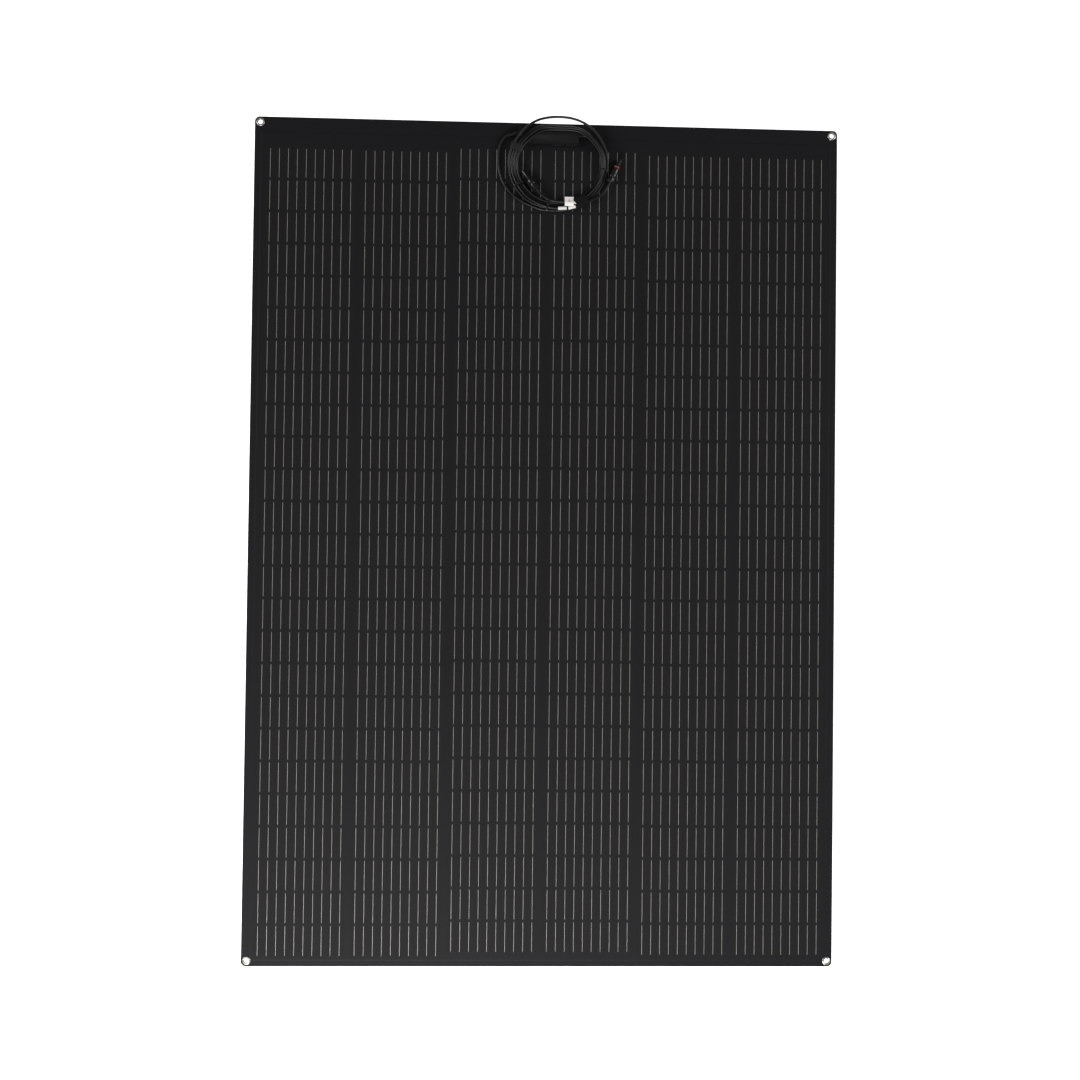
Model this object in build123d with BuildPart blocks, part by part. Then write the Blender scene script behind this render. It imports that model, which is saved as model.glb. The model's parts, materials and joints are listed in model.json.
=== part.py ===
from build123d import *
import os
from math import cos, hypot, pi, radians, sin, tan

os.makedirs("parts", exist_ok=True)

# Flexible solar sheet: a thin laminate of third-cut cells with a low junction box on its front
# face, four corner eyelets and two leads coiled up beside the box. Millimetres.
# The sheet lies flat with its front up (+Z) and the junction-box edge towards +Y.
# The origin is under the sheet's centre, on the plane that its eyelets rest on.

# ---- cell grid ----
COLUMNS = 6
ROWS = 25
PANELS = 5  # stretches of the laminate, with a bending line between two of them
CELL_WIDTH = 182.0
CELL_HEIGHT = 60.7
COLUMN_GAP = 11.8
ROW_GAP = 4.9
SIDE_MARGIN = 23.5
TOP_MARGIN = 60.5
BOTTOM_MARGIN = 24.4
STRING_SHIFTS = (-4.0, -4.0, 4.5, 4.5, -0.7, -0.7)  # how far up each column is laid
CORNER_RADIUS = 10.0

# ---- laminate layers, from the back ----
REST_GAP = 0.5  # the eyelet washers stand this far behind the back film
BACK_FILM = 0.3
BOARD = 1.0
REAR_SHEET = 0.3
CELL_THICKNESS = 0.2
RIBBON_THICKNESS = 0.2
MASK_THICKNESS = 0.1
FRONT_SHEET = 0.2
FRONT_FILM = 0.25
BOARD_SIDE_INSET = 13.0
BOARD_TOP_INSET = 30.0
BOARD_BOTTOM_INSET = 12.0
BEND_GAP = 0.5  # between two panels, so that they clear each other when the sheet bends

# ---- conductors ----
RIBBONS_PER_CELL = 10
RIBBON_WIDTH = 0.9
MASK_OVERLAP = 0.8
BUS_WIDTH = 5.0
BUS_FROM_CELL = 2.0
BUS_LANE_PITCH = 7.0
TERMINAL_PITCH = 26.0
TERMINAL_WIDTH = 6.0
TERMINAL_THICKNESS = 0.6
TERMINAL_HEIGHT = 5.0

# ---- eyelets ----
EYELET_INSET = 11.5
EYELET_HOLE_RADIUS = 4.5
EYELET_WALL = 0.5
EYELET_FLANGE_RADIUS = 8.5
EYELET_RIM_HEIGHT = 1.3

# ---- junction box ----
BOX_LENGTH = 124.0
BOX_DEPTH = 37.0
BOX_FROM_EDGE = 8.0
BASE_HEIGHT = 8.5
LID_HEIGHT = 4.5
BOX_WALL = 2.0
BOX_FLOOR = 1.5
BOX_CORNER = 2.0
LID_LIP = 2.0
LID_LIP_CLEARANCE = 0.1
LID_SLOPE_DROP = 3.0
ADHESIVE = 0.6
ADHESIVE_INSET = 1.5
POTTING_HEIGHT = 4.8
DIODE_LENGTH = 9.0
DIODE_RADIUS = 2.0
LATCH_WIDTHS = (22.0, 20.0)
LATCH_PLACES = (20.0, 47.0)
LATCH_REACH = 2.5
LATCH_HEIGHT = 2.2

# ---- leads ----
CABLE_RADIUS = 2.5
CABLE_LIFT = 0.4
EXIT_HEIGHT = 5.4
EXIT_SHIFT = 1.5  # the cable holes are this far nearer the sheet's edge than the box's middle
BOOT_LENGTH = 9.0
BOOT_RADIUS = 4.4
BOOT_TIP_RADIUS = 3.3
BOOT_SEAT = 1.2

# ---- the coil that both leads are wound into ----
COIL_X = 21.5
COIL_DOWN = 81.5  # its middle, measured down from the sheet's top edge
COIL_RADIUS_X = 104.0
COIL_RADIUS_Y = 98.5
HOLE_X = 24.0
HOLE_DOWN = 82.0
HOLE_RADIUS = 84.0
HOLE_TOP_RADIUS = 65.5
COIL_HEIGHT = 11.0
COIL_LIFT = 1.7
COIL_BOX_CLEARANCE = 0.8
COIL_SLOPE_START = 7.0  # past the box's lower wall
COIL_SLOPE_LENGTH = 58.0
TIE_ANGLES = (-105.0, -9.0, -152.0)
TIE_WIDTH = 3.6
TIE_THICKNESS = 1.2
TIE_HEAD = 5.0
TIE_HEAD_HEIGHT = 3.0
GREY_WRAP = (163.0, 18.0, 0.8)  # angle round the coil, length along it, thickness
BLACK_WRAP = (-63.0, 29.0, 1.2)
LABEL = (-86.0, 16.0, 0.4)
FLAG_WIDTH = 17.0
FLAG_LENGTH = 20.0
FLAG_SHIFT = 15.0
FLAG_HEIGHT = 5.0

# ---- connectors ----
PLUG_REAR = (125.5, 122.0)
PLUG_HEADING = (22.5, 48.0)
SOCKET_REAR = (-23.5, 138.0)
SOCKET_HEADING = (-28.5, 36.5)
NUT_RADIUS = 8.0
NUT_LENGTH = 12.0
NUT_FLATS = 10
NUT_CAVITY_DEPTH = 8.0
NECK_RADIUS = 5.8
NUT_CLEARANCE = 0.06
NUT_END_GAP = 0.4
CABLE_CLEARANCE = 0.4
CONNECTOR_LIFT = 0.4
PLUG_BODY_LENGTH = 21.0
PLUG_BODY_RADIUS = 7.4
PLUG_SHOULDER_RADIUS = 6.2
PLUG_TUBE_LENGTH = 19.0
PLUG_TUBE_RADIUS = 4.4
SEAL_RADIUS = 6.4
SEAL_LENGTH = 3.4
SOCKET_BODY_LENGTH = 11.0
SOCKET_BODY_RADIUS = 7.4
SOCKET_BARREL_LENGTH = 24.0
SOCKET_BARREL_RADIUS = 3.9
LATCH_ARM_SPREAD = 18.0
LATCH_ARM_LENGTH = 14.0
LATCH_ARM_WIDTH = 2.2
LATCH_ARM_HEIGHT = 6.0
TIP_BORE_RADIUS = 2.6
CONTACT_RADIUS = 1.5
CONTACT_LENGTH = 15.0

# ---- worked out from the sizes above ----
COLUMN_PITCH = CELL_WIDTH + COLUMN_GAP
ROW_PITCH = CELL_HEIGHT + ROW_GAP
SHEET_WIDTH = COLUMNS * COLUMN_PITCH - COLUMN_GAP + 2 * SIDE_MARGIN
SHEET_HEIGHT = ROWS * ROW_PITCH - ROW_GAP + TOP_MARGIN + BOTTOM_MARGIN
TOP_EDGE = SHEET_HEIGHT / 2
BOTTOM_EDGE = -SHEET_HEIGHT / 2
ROWS_PER_PANEL = ROWS // PANELS
RIBBON_PITCH = CELL_WIDTH / RIBBONS_PER_CELL

BOARD_Z = REST_GAP + BACK_FILM
REAR_SHEET_Z = BOARD_Z + BOARD
CELL_Z = REAR_SHEET_Z + REAR_SHEET
RIBBON_Z = CELL_Z + CELL_THICKNESS
MASK_Z = RIBBON_Z + RIBBON_THICKNESS
FRONT_SHEET_Z = MASK_Z + MASK_THICKNESS
FILM_Z = FRONT_SHEET_Z + FRONT_SHEET
FACE_Z = FILM_Z + FRONT_FILM
MID_Z = (REST_GAP + FACE_Z) / 2
EYELET_BARREL_RADIUS = EYELET_HOLE_RADIUS + EYELET_WALL

BOX_Y = TOP_EDGE - BOX_FROM_EDGE - BOX_DEPTH / 2
BASE_Z = FACE_Z + ADHESIVE
LID_Z = BASE_Z + BASE_HEIGHT
BOX_TOP_Z = LID_Z + LID_HEIGHT
EXIT_Y = BOX_Y + EXIT_SHIFT
EXIT_Z = FACE_Z + EXIT_HEIGHT
CABLE_Z = FACE_Z + CABLE_LIFT + CABLE_RADIUS

EVERY_PANEL = range(1, PANELS + 1)


# ---- the grid ----
def column_x(column):
    """Middle of a column of cells."""
    return (column - (COLUMNS - 1) / 2) * COLUMN_PITCH


def cell_y(column, row):
    """Middle of a cell; row 0 is the one nearest the junction box."""
    first = TOP_EDGE - TOP_MARGIN - CELL_HEIGHT / 2
    return first - row * ROW_PITCH + STRING_SHIFTS[column]


def bend_y(line, column=None):
    """Where bending line 1, 2, ... crosses a column, or its mean height across the sheet."""
    shift = 0 if column is None else STRING_SHIFTS[column]
    first = TOP_EDGE - TOP_MARGIN + ROW_GAP / 2
    return first - line * ROWS_PER_PANEL * ROW_PITCH + shift


def edge_points(line, side):
    """The stepped edge of a panel along a bending line, from left to right.
    side is 1 for the panel above the line and -1 for the one below."""
    reach = SHEET_WIDTH
    if line in (0, PANELS):
        y = TOP_EDGE + reach if line == 0 else BOTTOM_EDGE - reach
        return [(-reach, y), (reach, y)]
    points = []
    for column in range(COLUMNS):
        left = -reach if column == 0 else column_x(column) - COLUMN_PITCH / 2
        right = reach if column == COLUMNS - 1 else column_x(column) + COLUMN_PITCH / 2
        y = bend_y(line, column) + side * BEND_GAP / 2
        # the step between two columns leaves the same gap sideways
        if column > 0 and STRING_SHIFTS[column] != STRING_SHIFTS[column - 1]:
            rises = STRING_SHIFTS[column] > STRING_SHIFTS[column - 1]
            nudge = -side if rises else side
            left += nudge * BEND_GAP / 2
            points.append((left, points[-1][1]))
            points.append((left, y))
        if column == 0:
            points.append((left, y))
        if column == COLUMNS - 1:
            points.append((right, y))
    return points


def panel_outline(number):
    """Everything between a panel's two edges, as a face that other outlines are cut with."""
    upper = edge_points(number - 1, -1)
    lower = edge_points(number, 1)
    with BuildSketch() as outline:
        with BuildLine():
            Polyline(*upper, *reversed(lower), close=True)
        make_face()
    return outline.sketch


def eyelet_places(signs):
    x = SHEET_WIDTH / 2 - EYELET_INSET
    y = SHEET_HEIGHT / 2 - EYELET_INSET
    return [(sx * x, sign * y) for sign in signs for sx in (-1, 1)]


def layer(number, z, side=0.0, top=0.0, bottom=0.0):
    """One panel's share of a laminate layer, at height z, set in from the sheet's edges."""
    width = SHEET_WIDTH - 2 * side
    height = SHEET_HEIGHT - top - bottom
    middle = (bottom - top) / 2
    with BuildSketch(Plane.XY.offset(z)) as sketch:
        with Locations((0, middle)):
            RectangleRounded(width, height, CORNER_RADIUS)
        with Locations(*eyelet_places((-1, 1))):
            Circle(EYELET_BARREL_RADIUS, mode=Mode.SUBTRACT)
        add(panel_outline(number), mode=Mode.INTERSECT)
    return sketch.sketch


def panel_rows(number):
    return range((number - 1) * ROWS_PER_PANEL, number * ROWS_PER_PANEL)


def cell_faces(number):
    places = [(column_x(c), cell_y(c, r)) for c in range(COLUMNS) for r in panel_rows(number)]
    with BuildSketch(Plane.XY.offset(CELL_Z)) as sketch:
        with Locations(*places):
            Rectangle(CELL_WIDTH, CELL_HEIGHT)
    return sketch.sketch


def ribbon_ends(column, number):
    """Lowest and highest point of a panel's ribbons: they run over its cells, and on to the bus
    bars at the two ends of the sheet."""
    rows = panel_rows(number)
    low = cell_y(column, rows[-1]) - CELL_HEIGHT / 2
    high = cell_y(column, rows[0]) + CELL_HEIGHT / 2
    if number == 1:
        high += BUS_FROM_CELL + BUS_WIDTH
    if number == PANELS:
        low -= BUS_FROM_CELL + BUS_WIDTH
    return low, high


def ribbon_faces(number):
    with BuildSketch(Plane.XY.offset(RIBBON_Z)) as sketch:
        for column in range(COLUMNS):
            low, high = ribbon_ends(column, number)
            with Locations((column_x(column), (low + high) / 2)):
                with GridLocations(RIBBON_PITCH, 1, RIBBONS_PER_CELL, 1):
                    Rectangle(RIBBON_WIDTH, high - low)
    return sketch.sketch


def mask_faces(number):
    """Black strips over the gaps between rows, and over the ribbons' ends on the bus bars."""
    strip = ROW_GAP + 2 * MASK_OVERLAP
    end_strip = BUS_FROM_CELL + BUS_WIDTH + MASK_OVERLAP
    with BuildSketch(Plane.XY.offset(MASK_Z)) as sketch:
        for column in range(COLUMNS):
            rows = panel_rows(number)
            for row in rows[:-1]:
                with Locations((column_x(column), cell_y(column, row) - ROW_PITCH / 2)):
                    Rectangle(CELL_WIDTH, strip)
            low, high = ribbon_ends(column, number)
            if number == 1:
                with Locations((column_x(column), high - end_strip / 2)):
                    Rectangle(CELL_WIDTH, end_strip)
            if number == PANELS:
                with Locations((column_x(column), low + end_strip / 2)):
                    Rectangle(CELL_WIDTH, end_strip)
    return sketch.sketch


def bus_y(column, end):
    """Middle of the bus bar beside a column's last cell, at the top (1) or bottom (-1)."""
    row = 0 if end > 0 else ROWS - 1
    return cell_y(column, row) + end * (CELL_HEIGHT / 2 + BUS_FROM_CELL + BUS_WIDTH / 2)


def bus_run(*points):
    """A flat conductor of bus width through the points, its legs along X and Y."""
    for (x0, y0), (x1, y1) in zip(points, points[1:]):
        with Locations(((x0 + x1) / 2, (y0 + y1) / 2)):
            Rectangle(abs(x1 - x0) + BUS_WIDTH, abs(y1 - y0) + BUS_WIDTH)


def terminal_x(number):
    return (number - 1.5) * TERMINAL_PITCH


def bottom_bus_faces():
    """One bus bar joins the two columns of each string at the bottom."""
    half = (CELL_WIDTH - BUS_WIDTH) / 2
    with BuildSketch(Plane.XY.offset(CELL_Z)) as sketch:
        for column in range(0, COLUMNS, 2):
            y = bus_y(column, -1)
            bus_run((column_x(column) - half, y), (column_x(column + 1) + half, y))
    return sketch.sketch


def top_bus_faces():
    """The strings' ends are joined at the top, and four risers lead under the junction box."""
    half = (CELL_WIDTH - BUS_WIDTH) / 2
    lane = max(bus_y(c, 1) for c in range(COLUMNS)) + BUS_LANE_PITCH
    with BuildSketch(Plane.XY.offset(CELL_Z)) as sketch:
        for side in (-1, 1):
            outer, middle, inner = (0, 1, 2) if side < 0 else (5, 4, 3)
            outer_y, middle_y, inner_y = (bus_y(c, 1) for c in (outer, middle, inner))
            near = column_x(outer) - side * half
            far = column_x(outer) + side * half
            post = side * 1.5 * TERMINAL_PITCH
            bus_run((far, outer_y), (near, outer_y), (near, lane), (post, lane), (post, BOX_Y))
            step = column_x(middle) - side * (half + COLUMN_GAP / 2)
            post = side * 0.5 * TERMINAL_PITCH
            start = column_x(middle) + side * half
            bus_run((start, middle_y), (step, middle_y), (step, inner_y), (post, inner_y))
            bus_run((post, inner_y), (post, BOX_Y))
    return sketch.sketch


def terminal_faces(z):
    """Slots for the four terminals, through the film and the box's floor."""
    with BuildSketch(Plane.XY.offset(z)) as sketch:
        with Locations((0, BOX_Y)):
            with GridLocations(TERMINAL_PITCH, 1, 4, 1):
                Rectangle(TERMINAL_WIDTH, TERMINAL_THICKNESS)
    return sketch.sketch


def cell_space(number):
    """The hollow that holds a panel's cells, ribbons, masks and bus bars."""
    low = cell_y(0, ROWS - 1) - CELL_HEIGHT / 2 + min(STRING_SHIFTS) - STRING_SHIFTS[0]
    low -= BUS_FROM_CELL + BUS_WIDTH
    high = BOX_Y + BUS_WIDTH / 2
    width = COLUMNS * COLUMN_PITCH - COLUMN_GAP
    with BuildSketch(Plane.XY.offset(CELL_Z)) as sketch:
        with Locations((0, (low + high) / 2)):
            Rectangle(width, high - low)
        add(panel_outline(number), mode=Mode.INTERSECT)
    return sketch.sketch


# ---- laminate ----
for number in EVERY_PANEL:
    with BuildPart() as back_film:
        extrude(layer(number, REST_GAP), amount=BACK_FILM)
    back_film.part.label = f"back_film_{number}"
    export_step(back_film.part, f"parts/back_film_{number}.step")

    board_face = layer(
        number, BOARD_Z, BOARD_SIDE_INSET, BOARD_TOP_INSET, BOARD_BOTTOM_INSET
    )
    with BuildPart() as base_board:
        extrude(board_face, amount=BOARD)
    base_board.part.label = f"base_board_{number}"
    export_step(base_board.part, f"parts/base_board_{number}.step")

    with BuildPart() as cells:
        extrude(cell_faces(number), amount=CELL_THICKNESS)
    cells.part.label = f"cells_{number}"
    export_step(cells.part, f"parts/cells_{number}.step")

    with BuildPart() as ribbons:
        extrude(ribbon_faces(number), amount=RIBBON_THICKNESS)
    ribbons.part.label = f"ribbons_{number}"
    export_step(ribbons.part, f"parts/ribbons_{number}.step")

    with BuildPart() as masks:
        extrude(mask_faces(number), amount=MASK_THICKNESS)
    masks.part.label = f"row_masks_{number}"
    export_step(masks.part, f"parts/row_masks_{number}.step")

    # the edge seal round the board, the sheet behind the cells, and the sheet over them
    with BuildPart() as encapsulant:
        extrude(layer(number, BOARD_Z), amount=FILM_Z - BOARD_Z)
        extrude(board_face, amount=BOARD, mode=Mode.SUBTRACT)
        extrude(cell_space(number), amount=FRONT_SHEET_Z - CELL_Z, mode=Mode.SUBTRACT)
        if number == 1:
            extrude(
                terminal_faces(FRONT_SHEET_Z), amount=FRONT_SHEET, mode=Mode.SUBTRACT
            )
    encapsulant.part.label = f"encapsulant_{number}"
    export_step(encapsulant.part, f"parts/encapsulant_{number}.step")

    with BuildPart() as front_film:
        extrude(layer(number, FILM_Z), amount=FRONT_FILM)
        if number == 1:
            extrude(terminal_faces(FILM_Z), amount=FRONT_FILM, mode=Mode.SUBTRACT)
    front_film.part.label = f"front_film_{number}"
    export_step(front_film.part, f"parts/front_film_{number}.step")

with BuildPart() as top_buses:
    extrude(top_bus_faces(), amount=CELL_THICKNESS)
top_buses.part.label = "top_bus_bars"
export_step(top_buses.part, "parts/top_bus_bars.step")

with BuildPart() as bottom_buses:
    extrude(bottom_bus_faces(), amount=CELL_THICKNESS)
bottom_buses.part.label = "bottom_bus_bars"
export_step(bottom_buses.part, "parts/bottom_bus_bars.step")


# ---- eyelets: a barrel with a rolled rim in front, and a washer behind ----
def eyelet_pair(sign):
    rim = EYELET_RIM_HEIGHT / 2
    with BuildPart() as eyelet:
        with BuildSketch(Plane.XZ) as barrel:
            with Locations((EYELET_HOLE_RADIUS, 0)):
                Rectangle(EYELET_WALL, FACE_Z, align=(Align.MIN, Align.MIN))
            with Locations((EYELET_HOLE_RADIUS, FACE_Z)):
                Rectangle(
                    EYELET_FLANGE_RADIUS - EYELET_HOLE_RADIUS,
                    EYELET_RIM_HEIGHT,
                    align=(Align.MIN, Align.MIN),
                )
            upper = [v for v in barrel.sketch.vertices() if v.Y > FACE_Z + rim]
            fillet(upper, radius=rim * 0.98)
        revolve(axis=Axis.Z)
    with BuildPart() as washer:
        Cylinder(EYELET_FLANGE_RADIUS, REST_GAP, align=(Align.CENTER, Align.CENTER, Align.MIN))
        Cylinder(EYELET_BARREL_RADIUS, REST_GAP * 4, mode=Mode.SUBTRACT)
    with BuildPart() as pair:
        with Locations(*eyelet_places((sign,))):
            add(eyelet.part)
            add(washer.part)
    return pair.part


for edge, sign in (("top", 1), ("bottom", -1)):
    with BuildPart() as eyelets:
        add(eyelet_pair(sign))
    eyelets.part.label = f"eyelets_{edge}"
    export_step(eyelets.part, f"parts/eyelets_{edge}.step")


# ---- junction box ----
def box_rectangle(z, inset=0.0, radius=None):
    corner = BOX_CORNER if radius is None else radius
    with BuildSketch(Plane.XY.offset(z)) as sketch:
        with Locations((0, BOX_Y)):
            RectangleRounded(BOX_LENGTH - 2 * inset, BOX_DEPTH - 2 * inset, corner)
    return sketch.sketch


END_PLANES = [
    Plane(origin=(sign * BOX_LENGTH / 2, EXIT_Y, EXIT_Z), z_dir=(sign, 0, 0)) for sign in (-1, 1)
]
LATCH_Y = BOX_Y - BOX_DEPTH / 2
INNER_CORNER = BOX_CORNER / 2

with BuildPart() as adhesive:
    extrude(box_rectangle(FACE_Z, ADHESIVE_INSET, INNER_CORNER), amount=ADHESIVE)
    extrude(terminal_faces(FACE_Z), amount=ADHESIVE, mode=Mode.SUBTRACT)
adhesive.part.label = "box_adhesive"
export_step(adhesive.part, "parts/box_adhesive.step")

with BuildPart() as box_base:
    extrude(box_rectangle(BASE_Z), amount=BASE_HEIGHT)
    extrude(
        box_rectangle(BASE_Z + BOX_FLOOR, BOX_WALL, INNER_CORNER),
        amount=BASE_HEIGHT,
        mode=Mode.SUBTRACT,
    )
    extrude(terminal_faces(BASE_Z), amount=BOX_FLOOR, mode=Mode.SUBTRACT)
    for plane in END_PLANES:
        with BuildSketch(plane):
            Circle(CABLE_RADIUS)
        extrude(amount=-BOX_WALL, mode=Mode.SUBTRACT)
        with BuildSketch(plane):
            Circle(BOOT_TIP_RADIUS)
        extrude(amount=-BOOT_SEAT, mode=Mode.SUBTRACT)
    # two latch catches on the wall towards the cells
    for place, width in zip(LATCH_PLACES, LATCH_WIDTHS):
        with Locations((place, LATCH_Y, LID_Z - LATCH_HEIGHT)):
            Box(width, LATCH_REACH, LATCH_HEIGHT, align=(Align.CENTER, Align.MAX, Align.MIN))
box_base.part.label = "junction_box_base"
export_step(box_base.part, "parts/junction_box_base.step")

lip_inset = BOX_WALL + LID_LIP_CLEARANCE
with BuildPart() as box_lid:
    # the lid's end view: level from the edge side to a ridge in the middle, then sloping down
    half = BOX_DEPTH / 2
    with BuildSketch(Plane.YZ.offset(-BOX_LENGTH / 2)):
        with BuildLine():
            Polyline(
                (BOX_Y - half, LID_Z),
                (BOX_Y + half, LID_Z),
                (BOX_Y + half, BOX_TOP_Z - LID_SLOPE_DROP / 3),
                (BOX_Y + half - LID_SLOPE_DROP, BOX_TOP_Z),
                (BOX_Y, BOX_TOP_Z),
                (BOX_Y - half, BOX_TOP_Z - LID_SLOPE_DROP),
                close=True,
            )
        make_face()
    extrude(amount=BOX_LENGTH)
    fillet(box_lid.edges().filter_by(Axis.Z), radius=BOX_CORNER)
    extrude(box_rectangle(LID_Z - LID_LIP, lip_inset, INNER_CORNER), amount=LID_LIP)
    extrude(
        box_rectangle(LID_Z - LID_LIP, lip_inset + BOX_FLOOR, INNER_CORNER),
        amount=LID_LIP,
        mode=Mode.SUBTRACT,
    )
box_lid.part.label = "junction_box_lid"
export_step(box_lid.part, "parts/junction_box_lid.step")

with BuildPart() as terminals:
    extrude(terminal_faces(RIBBON_Z), amount=BASE_Z + BOX_FLOOR + TERMINAL_HEIGHT - RIBBON_Z)
terminals.part.label = "box_terminals"
export_step(terminals.part, "parts/box_terminals.step")

# one bypass diode across each of the three strings, lying between two terminals
DIODE_Z = BASE_Z + BOX_FLOOR + DIODE_RADIUS
with BuildPart() as diodes:
    with Locations((0, BOX_Y, DIODE_Z)):
        with GridLocations(TERMINAL_PITCH, 1, 3, 1):
            Cylinder(DIODE_RADIUS, DIODE_LENGTH, rotation=(0, 90, 0))
diodes.part.label = "bypass_diodes"
export_step(diodes.part, "parts/bypass_diodes.step")

with BuildPart() as potting:
    extrude(box_rectangle(BASE_Z + BOX_FLOOR, BOX_WALL, INNER_CORNER), amount=POTTING_HEIGHT)
    add(terminals.part, mode=Mode.SUBTRACT)
    add(diodes.part, mode=Mode.SUBTRACT)
potting.part.label = "box_potting"
export_step(potting.part, "parts/box_potting.step")

with BuildPart() as boots:
    for plane in END_PLANES:
        with BuildSketch(plane):
            Circle(BOOT_TIP_RADIUS)
            Circle(CABLE_RADIUS, mode=Mode.SUBTRACT)
        extrude(amount=-BOOT_SEAT)
        with BuildSketch(plane):
            Circle(BOOT_RADIUS)
        with BuildSketch(plane.offset(BOOT_LENGTH)):
            Circle(BOOT_TIP_RADIUS)
        loft()
        with BuildSketch(plane):
            Circle(CABLE_RADIUS)
        extrude(amount=BOOT_LENGTH, mode=Mode.SUBTRACT)
boots.part.label = "cable_boots"
export_step(boots.part, "parts/cable_boots.step")


# ---- coil: one closed ring that dips from the box's lid to the sheet ----
def down(distance):
    """Y of a point that is so far below the sheet's top edge."""
    return TOP_EDGE - distance


COIL_Y = down(COIL_DOWN)
HOLE_Y = down(HOLE_DOWN)
COIL_LOW_Z = FACE_Z + COIL_LIFT
COIL_HIGH_Z = BOX_TOP_Z + COIL_BOX_CLEARANCE
SLOPE_TOP_Y = BOX_Y - BOX_DEPTH / 2 - COIL_SLOPE_START
SLOPE_END_Y = SLOPE_TOP_Y - COIL_SLOPE_LENGTH


def coil_underside(y):
    """Height of the coil's lower face over the sheet at y."""
    share = min(1.0, max(0.0, (y - SLOPE_END_Y) / COIL_SLOPE_LENGTH))
    return COIL_LOW_Z + share * (COIL_HIGH_Z - COIL_LOW_Z)


def coil_outline():
    with BuildSketch() as sketch:
        with Locations((COIL_X, COIL_Y)):
            Ellipse(COIL_RADIUS_X, COIL_RADIUS_Y)
    return sketch.sketch


with BuildPart() as coil:
    with BuildSketch(Plane.YZ.offset(COIL_X - COIL_RADIUS_X)):
        far = COIL_Y + 2 * COIL_RADIUS_Y
        near = COIL_Y - 2 * COIL_RADIUS_Y
        with BuildLine():
            Polyline(
                (near, COIL_LOW_Z),
                (SLOPE_END_Y, COIL_LOW_Z),
                (SLOPE_TOP_Y, COIL_HIGH_Z),
                (far, COIL_HIGH_Z),
                (far, COIL_HIGH_Z + COIL_HEIGHT),
                (SLOPE_TOP_Y, COIL_HIGH_Z + COIL_HEIGHT),
                (SLOPE_END_Y, COIL_LOW_Z + COIL_HEIGHT),
                (near, COIL_LOW_Z + COIL_HEIGHT),
                close=True,
            )
        make_face()
    extrude(amount=2 * COIL_RADIUS_X)
    extrude(coil_outline(), amount=COIL_HIGH_Z + 2 * COIL_HEIGHT, mode=Mode.INTERSECT)
    # its hole is round towards the cells and flatter towards the box
    with BuildSketch():
        with Locations((HOLE_X, HOLE_Y)):
            Ellipse(HOLE_RADIUS, HOLE_TOP_RADIUS)
            Rectangle(
                2 * HOLE_RADIUS,
                HOLE_RADIUS,
                align=(Align.CENTER, Align.MAX),
                mode=Mode.SUBTRACT,
            )
            Circle(HOLE_RADIUS, mode=Mode.ADD)
            Rectangle(
                3 * HOLE_RADIUS,
                3 * HOLE_RADIUS,
                align=(Align.CENTER, Align.MIN),
                mode=Mode.SUBTRACT,
            )
            Ellipse(HOLE_RADIUS, HOLE_TOP_RADIUS)
    extrude(amount=COIL_HIGH_Z + 2 * COIL_HEIGHT, mode=Mode.SUBTRACT)
coil.part.label = "lead_coil"
export_step(coil.part, "parts/lead_coil.step")


# ---- straight runs and tangent arcs of the leads outside the coil ----
def corner_radii(points):
    """For each corner, the largest arc its two runs allow."""
    radii = []
    for before, here, after in zip(points, points[1:], points[2:]):
        one = Vector(*here) - Vector(*before)
        two = Vector(*after) - Vector(*here)
        turn = one.get_angle(two)
        radii.append(0.45 * min(one.length, two.length) / tan(radians(turn) / 2))
    return radii


def lead_tube(name, points):
    """The tube's path, and a face across its start; prints its corner radii and its length."""
    radii = corner_radii(points)
    with BuildLine() as path:
        FilletPolyline(*points, radius=radii)
    print(name, "radii", [round(r) for r in radii], "length", round(path.wire().length))
    return path


def on_sheet(x, below, lift=0.0):
    return (x, down(below), CABLE_Z + lift)


def ahead(rear, heading, distance):
    """A point on a connector's axis, so far in front of its rear end (or behind it)."""
    size = hypot(*heading)
    x = rear[0] + heading[0] / size * distance
    y = down(rear[1]) + heading[1] / size * distance
    return (x, y, FACE_Z + CONNECTOR_LIFT + NUT_RADIUS)


LEFT_TAIL = [
    (-BOX_LENGTH / 2, EXIT_Y, EXIT_Z),
    (-BOX_LENGTH / 2 - 22, EXIT_Y, EXIT_Z),
    on_sheet(-100, 43, 1.8),
    on_sheet(-104, 75, 0.5),
    on_sheet(-100, 109),
    on_sheet(-85, 139),
    on_sheet(-59, 161),
    on_sheet(-29, 170, 0.6),
    on_sheet(2, 168, 1.5),
]
RIGHT_TAIL = [
    (BOX_LENGTH / 2, EXIT_Y, EXIT_Z),
    (BOX_LENGTH / 2 + 19, EXIT_Y, EXIT_Z),
    on_sheet(100, 37, 3.0),
    on_sheet(112, 57, 4.5),
    on_sheet(117, 82, 6.5),
    on_sheet(116, 108, 7.5),
]
PLUG_END = [
    on_sheet(76, 167, 4.0),
    on_sheet(97, 156, 4.5),
    ahead(PLUG_REAR, PLUG_HEADING, -20),
    ahead(PLUG_REAR, PLUG_HEADING, 0),
]
SOCKET_END = [
    on_sheet(22, 174, 4.0),
    on_sheet(3, 169, 4.5),
    ahead(SOCKET_REAR, SOCKET_HEADING, -17),
    ahead(SOCKET_REAR, SOCKET_HEADING, 0),
]


def start_plane(points):
    return Plane(origin=points[0], z_dir=Vector(*points[1]) - Vector(*points[0]))


def swept(name, points):
    path = lead_tube(name, points)
    with BuildPart() as tube:
        with BuildSketch(start_plane(points)) as section:
            Circle(CABLE_RADIUS)
        sweep(section.sketch, path=path.wire())
    expected = pi * CABLE_RADIUS**2 * path.wire().length
    print(name, "volume", round(tube.part.volume), "section times length", round(expected))
    return tube.part


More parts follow.
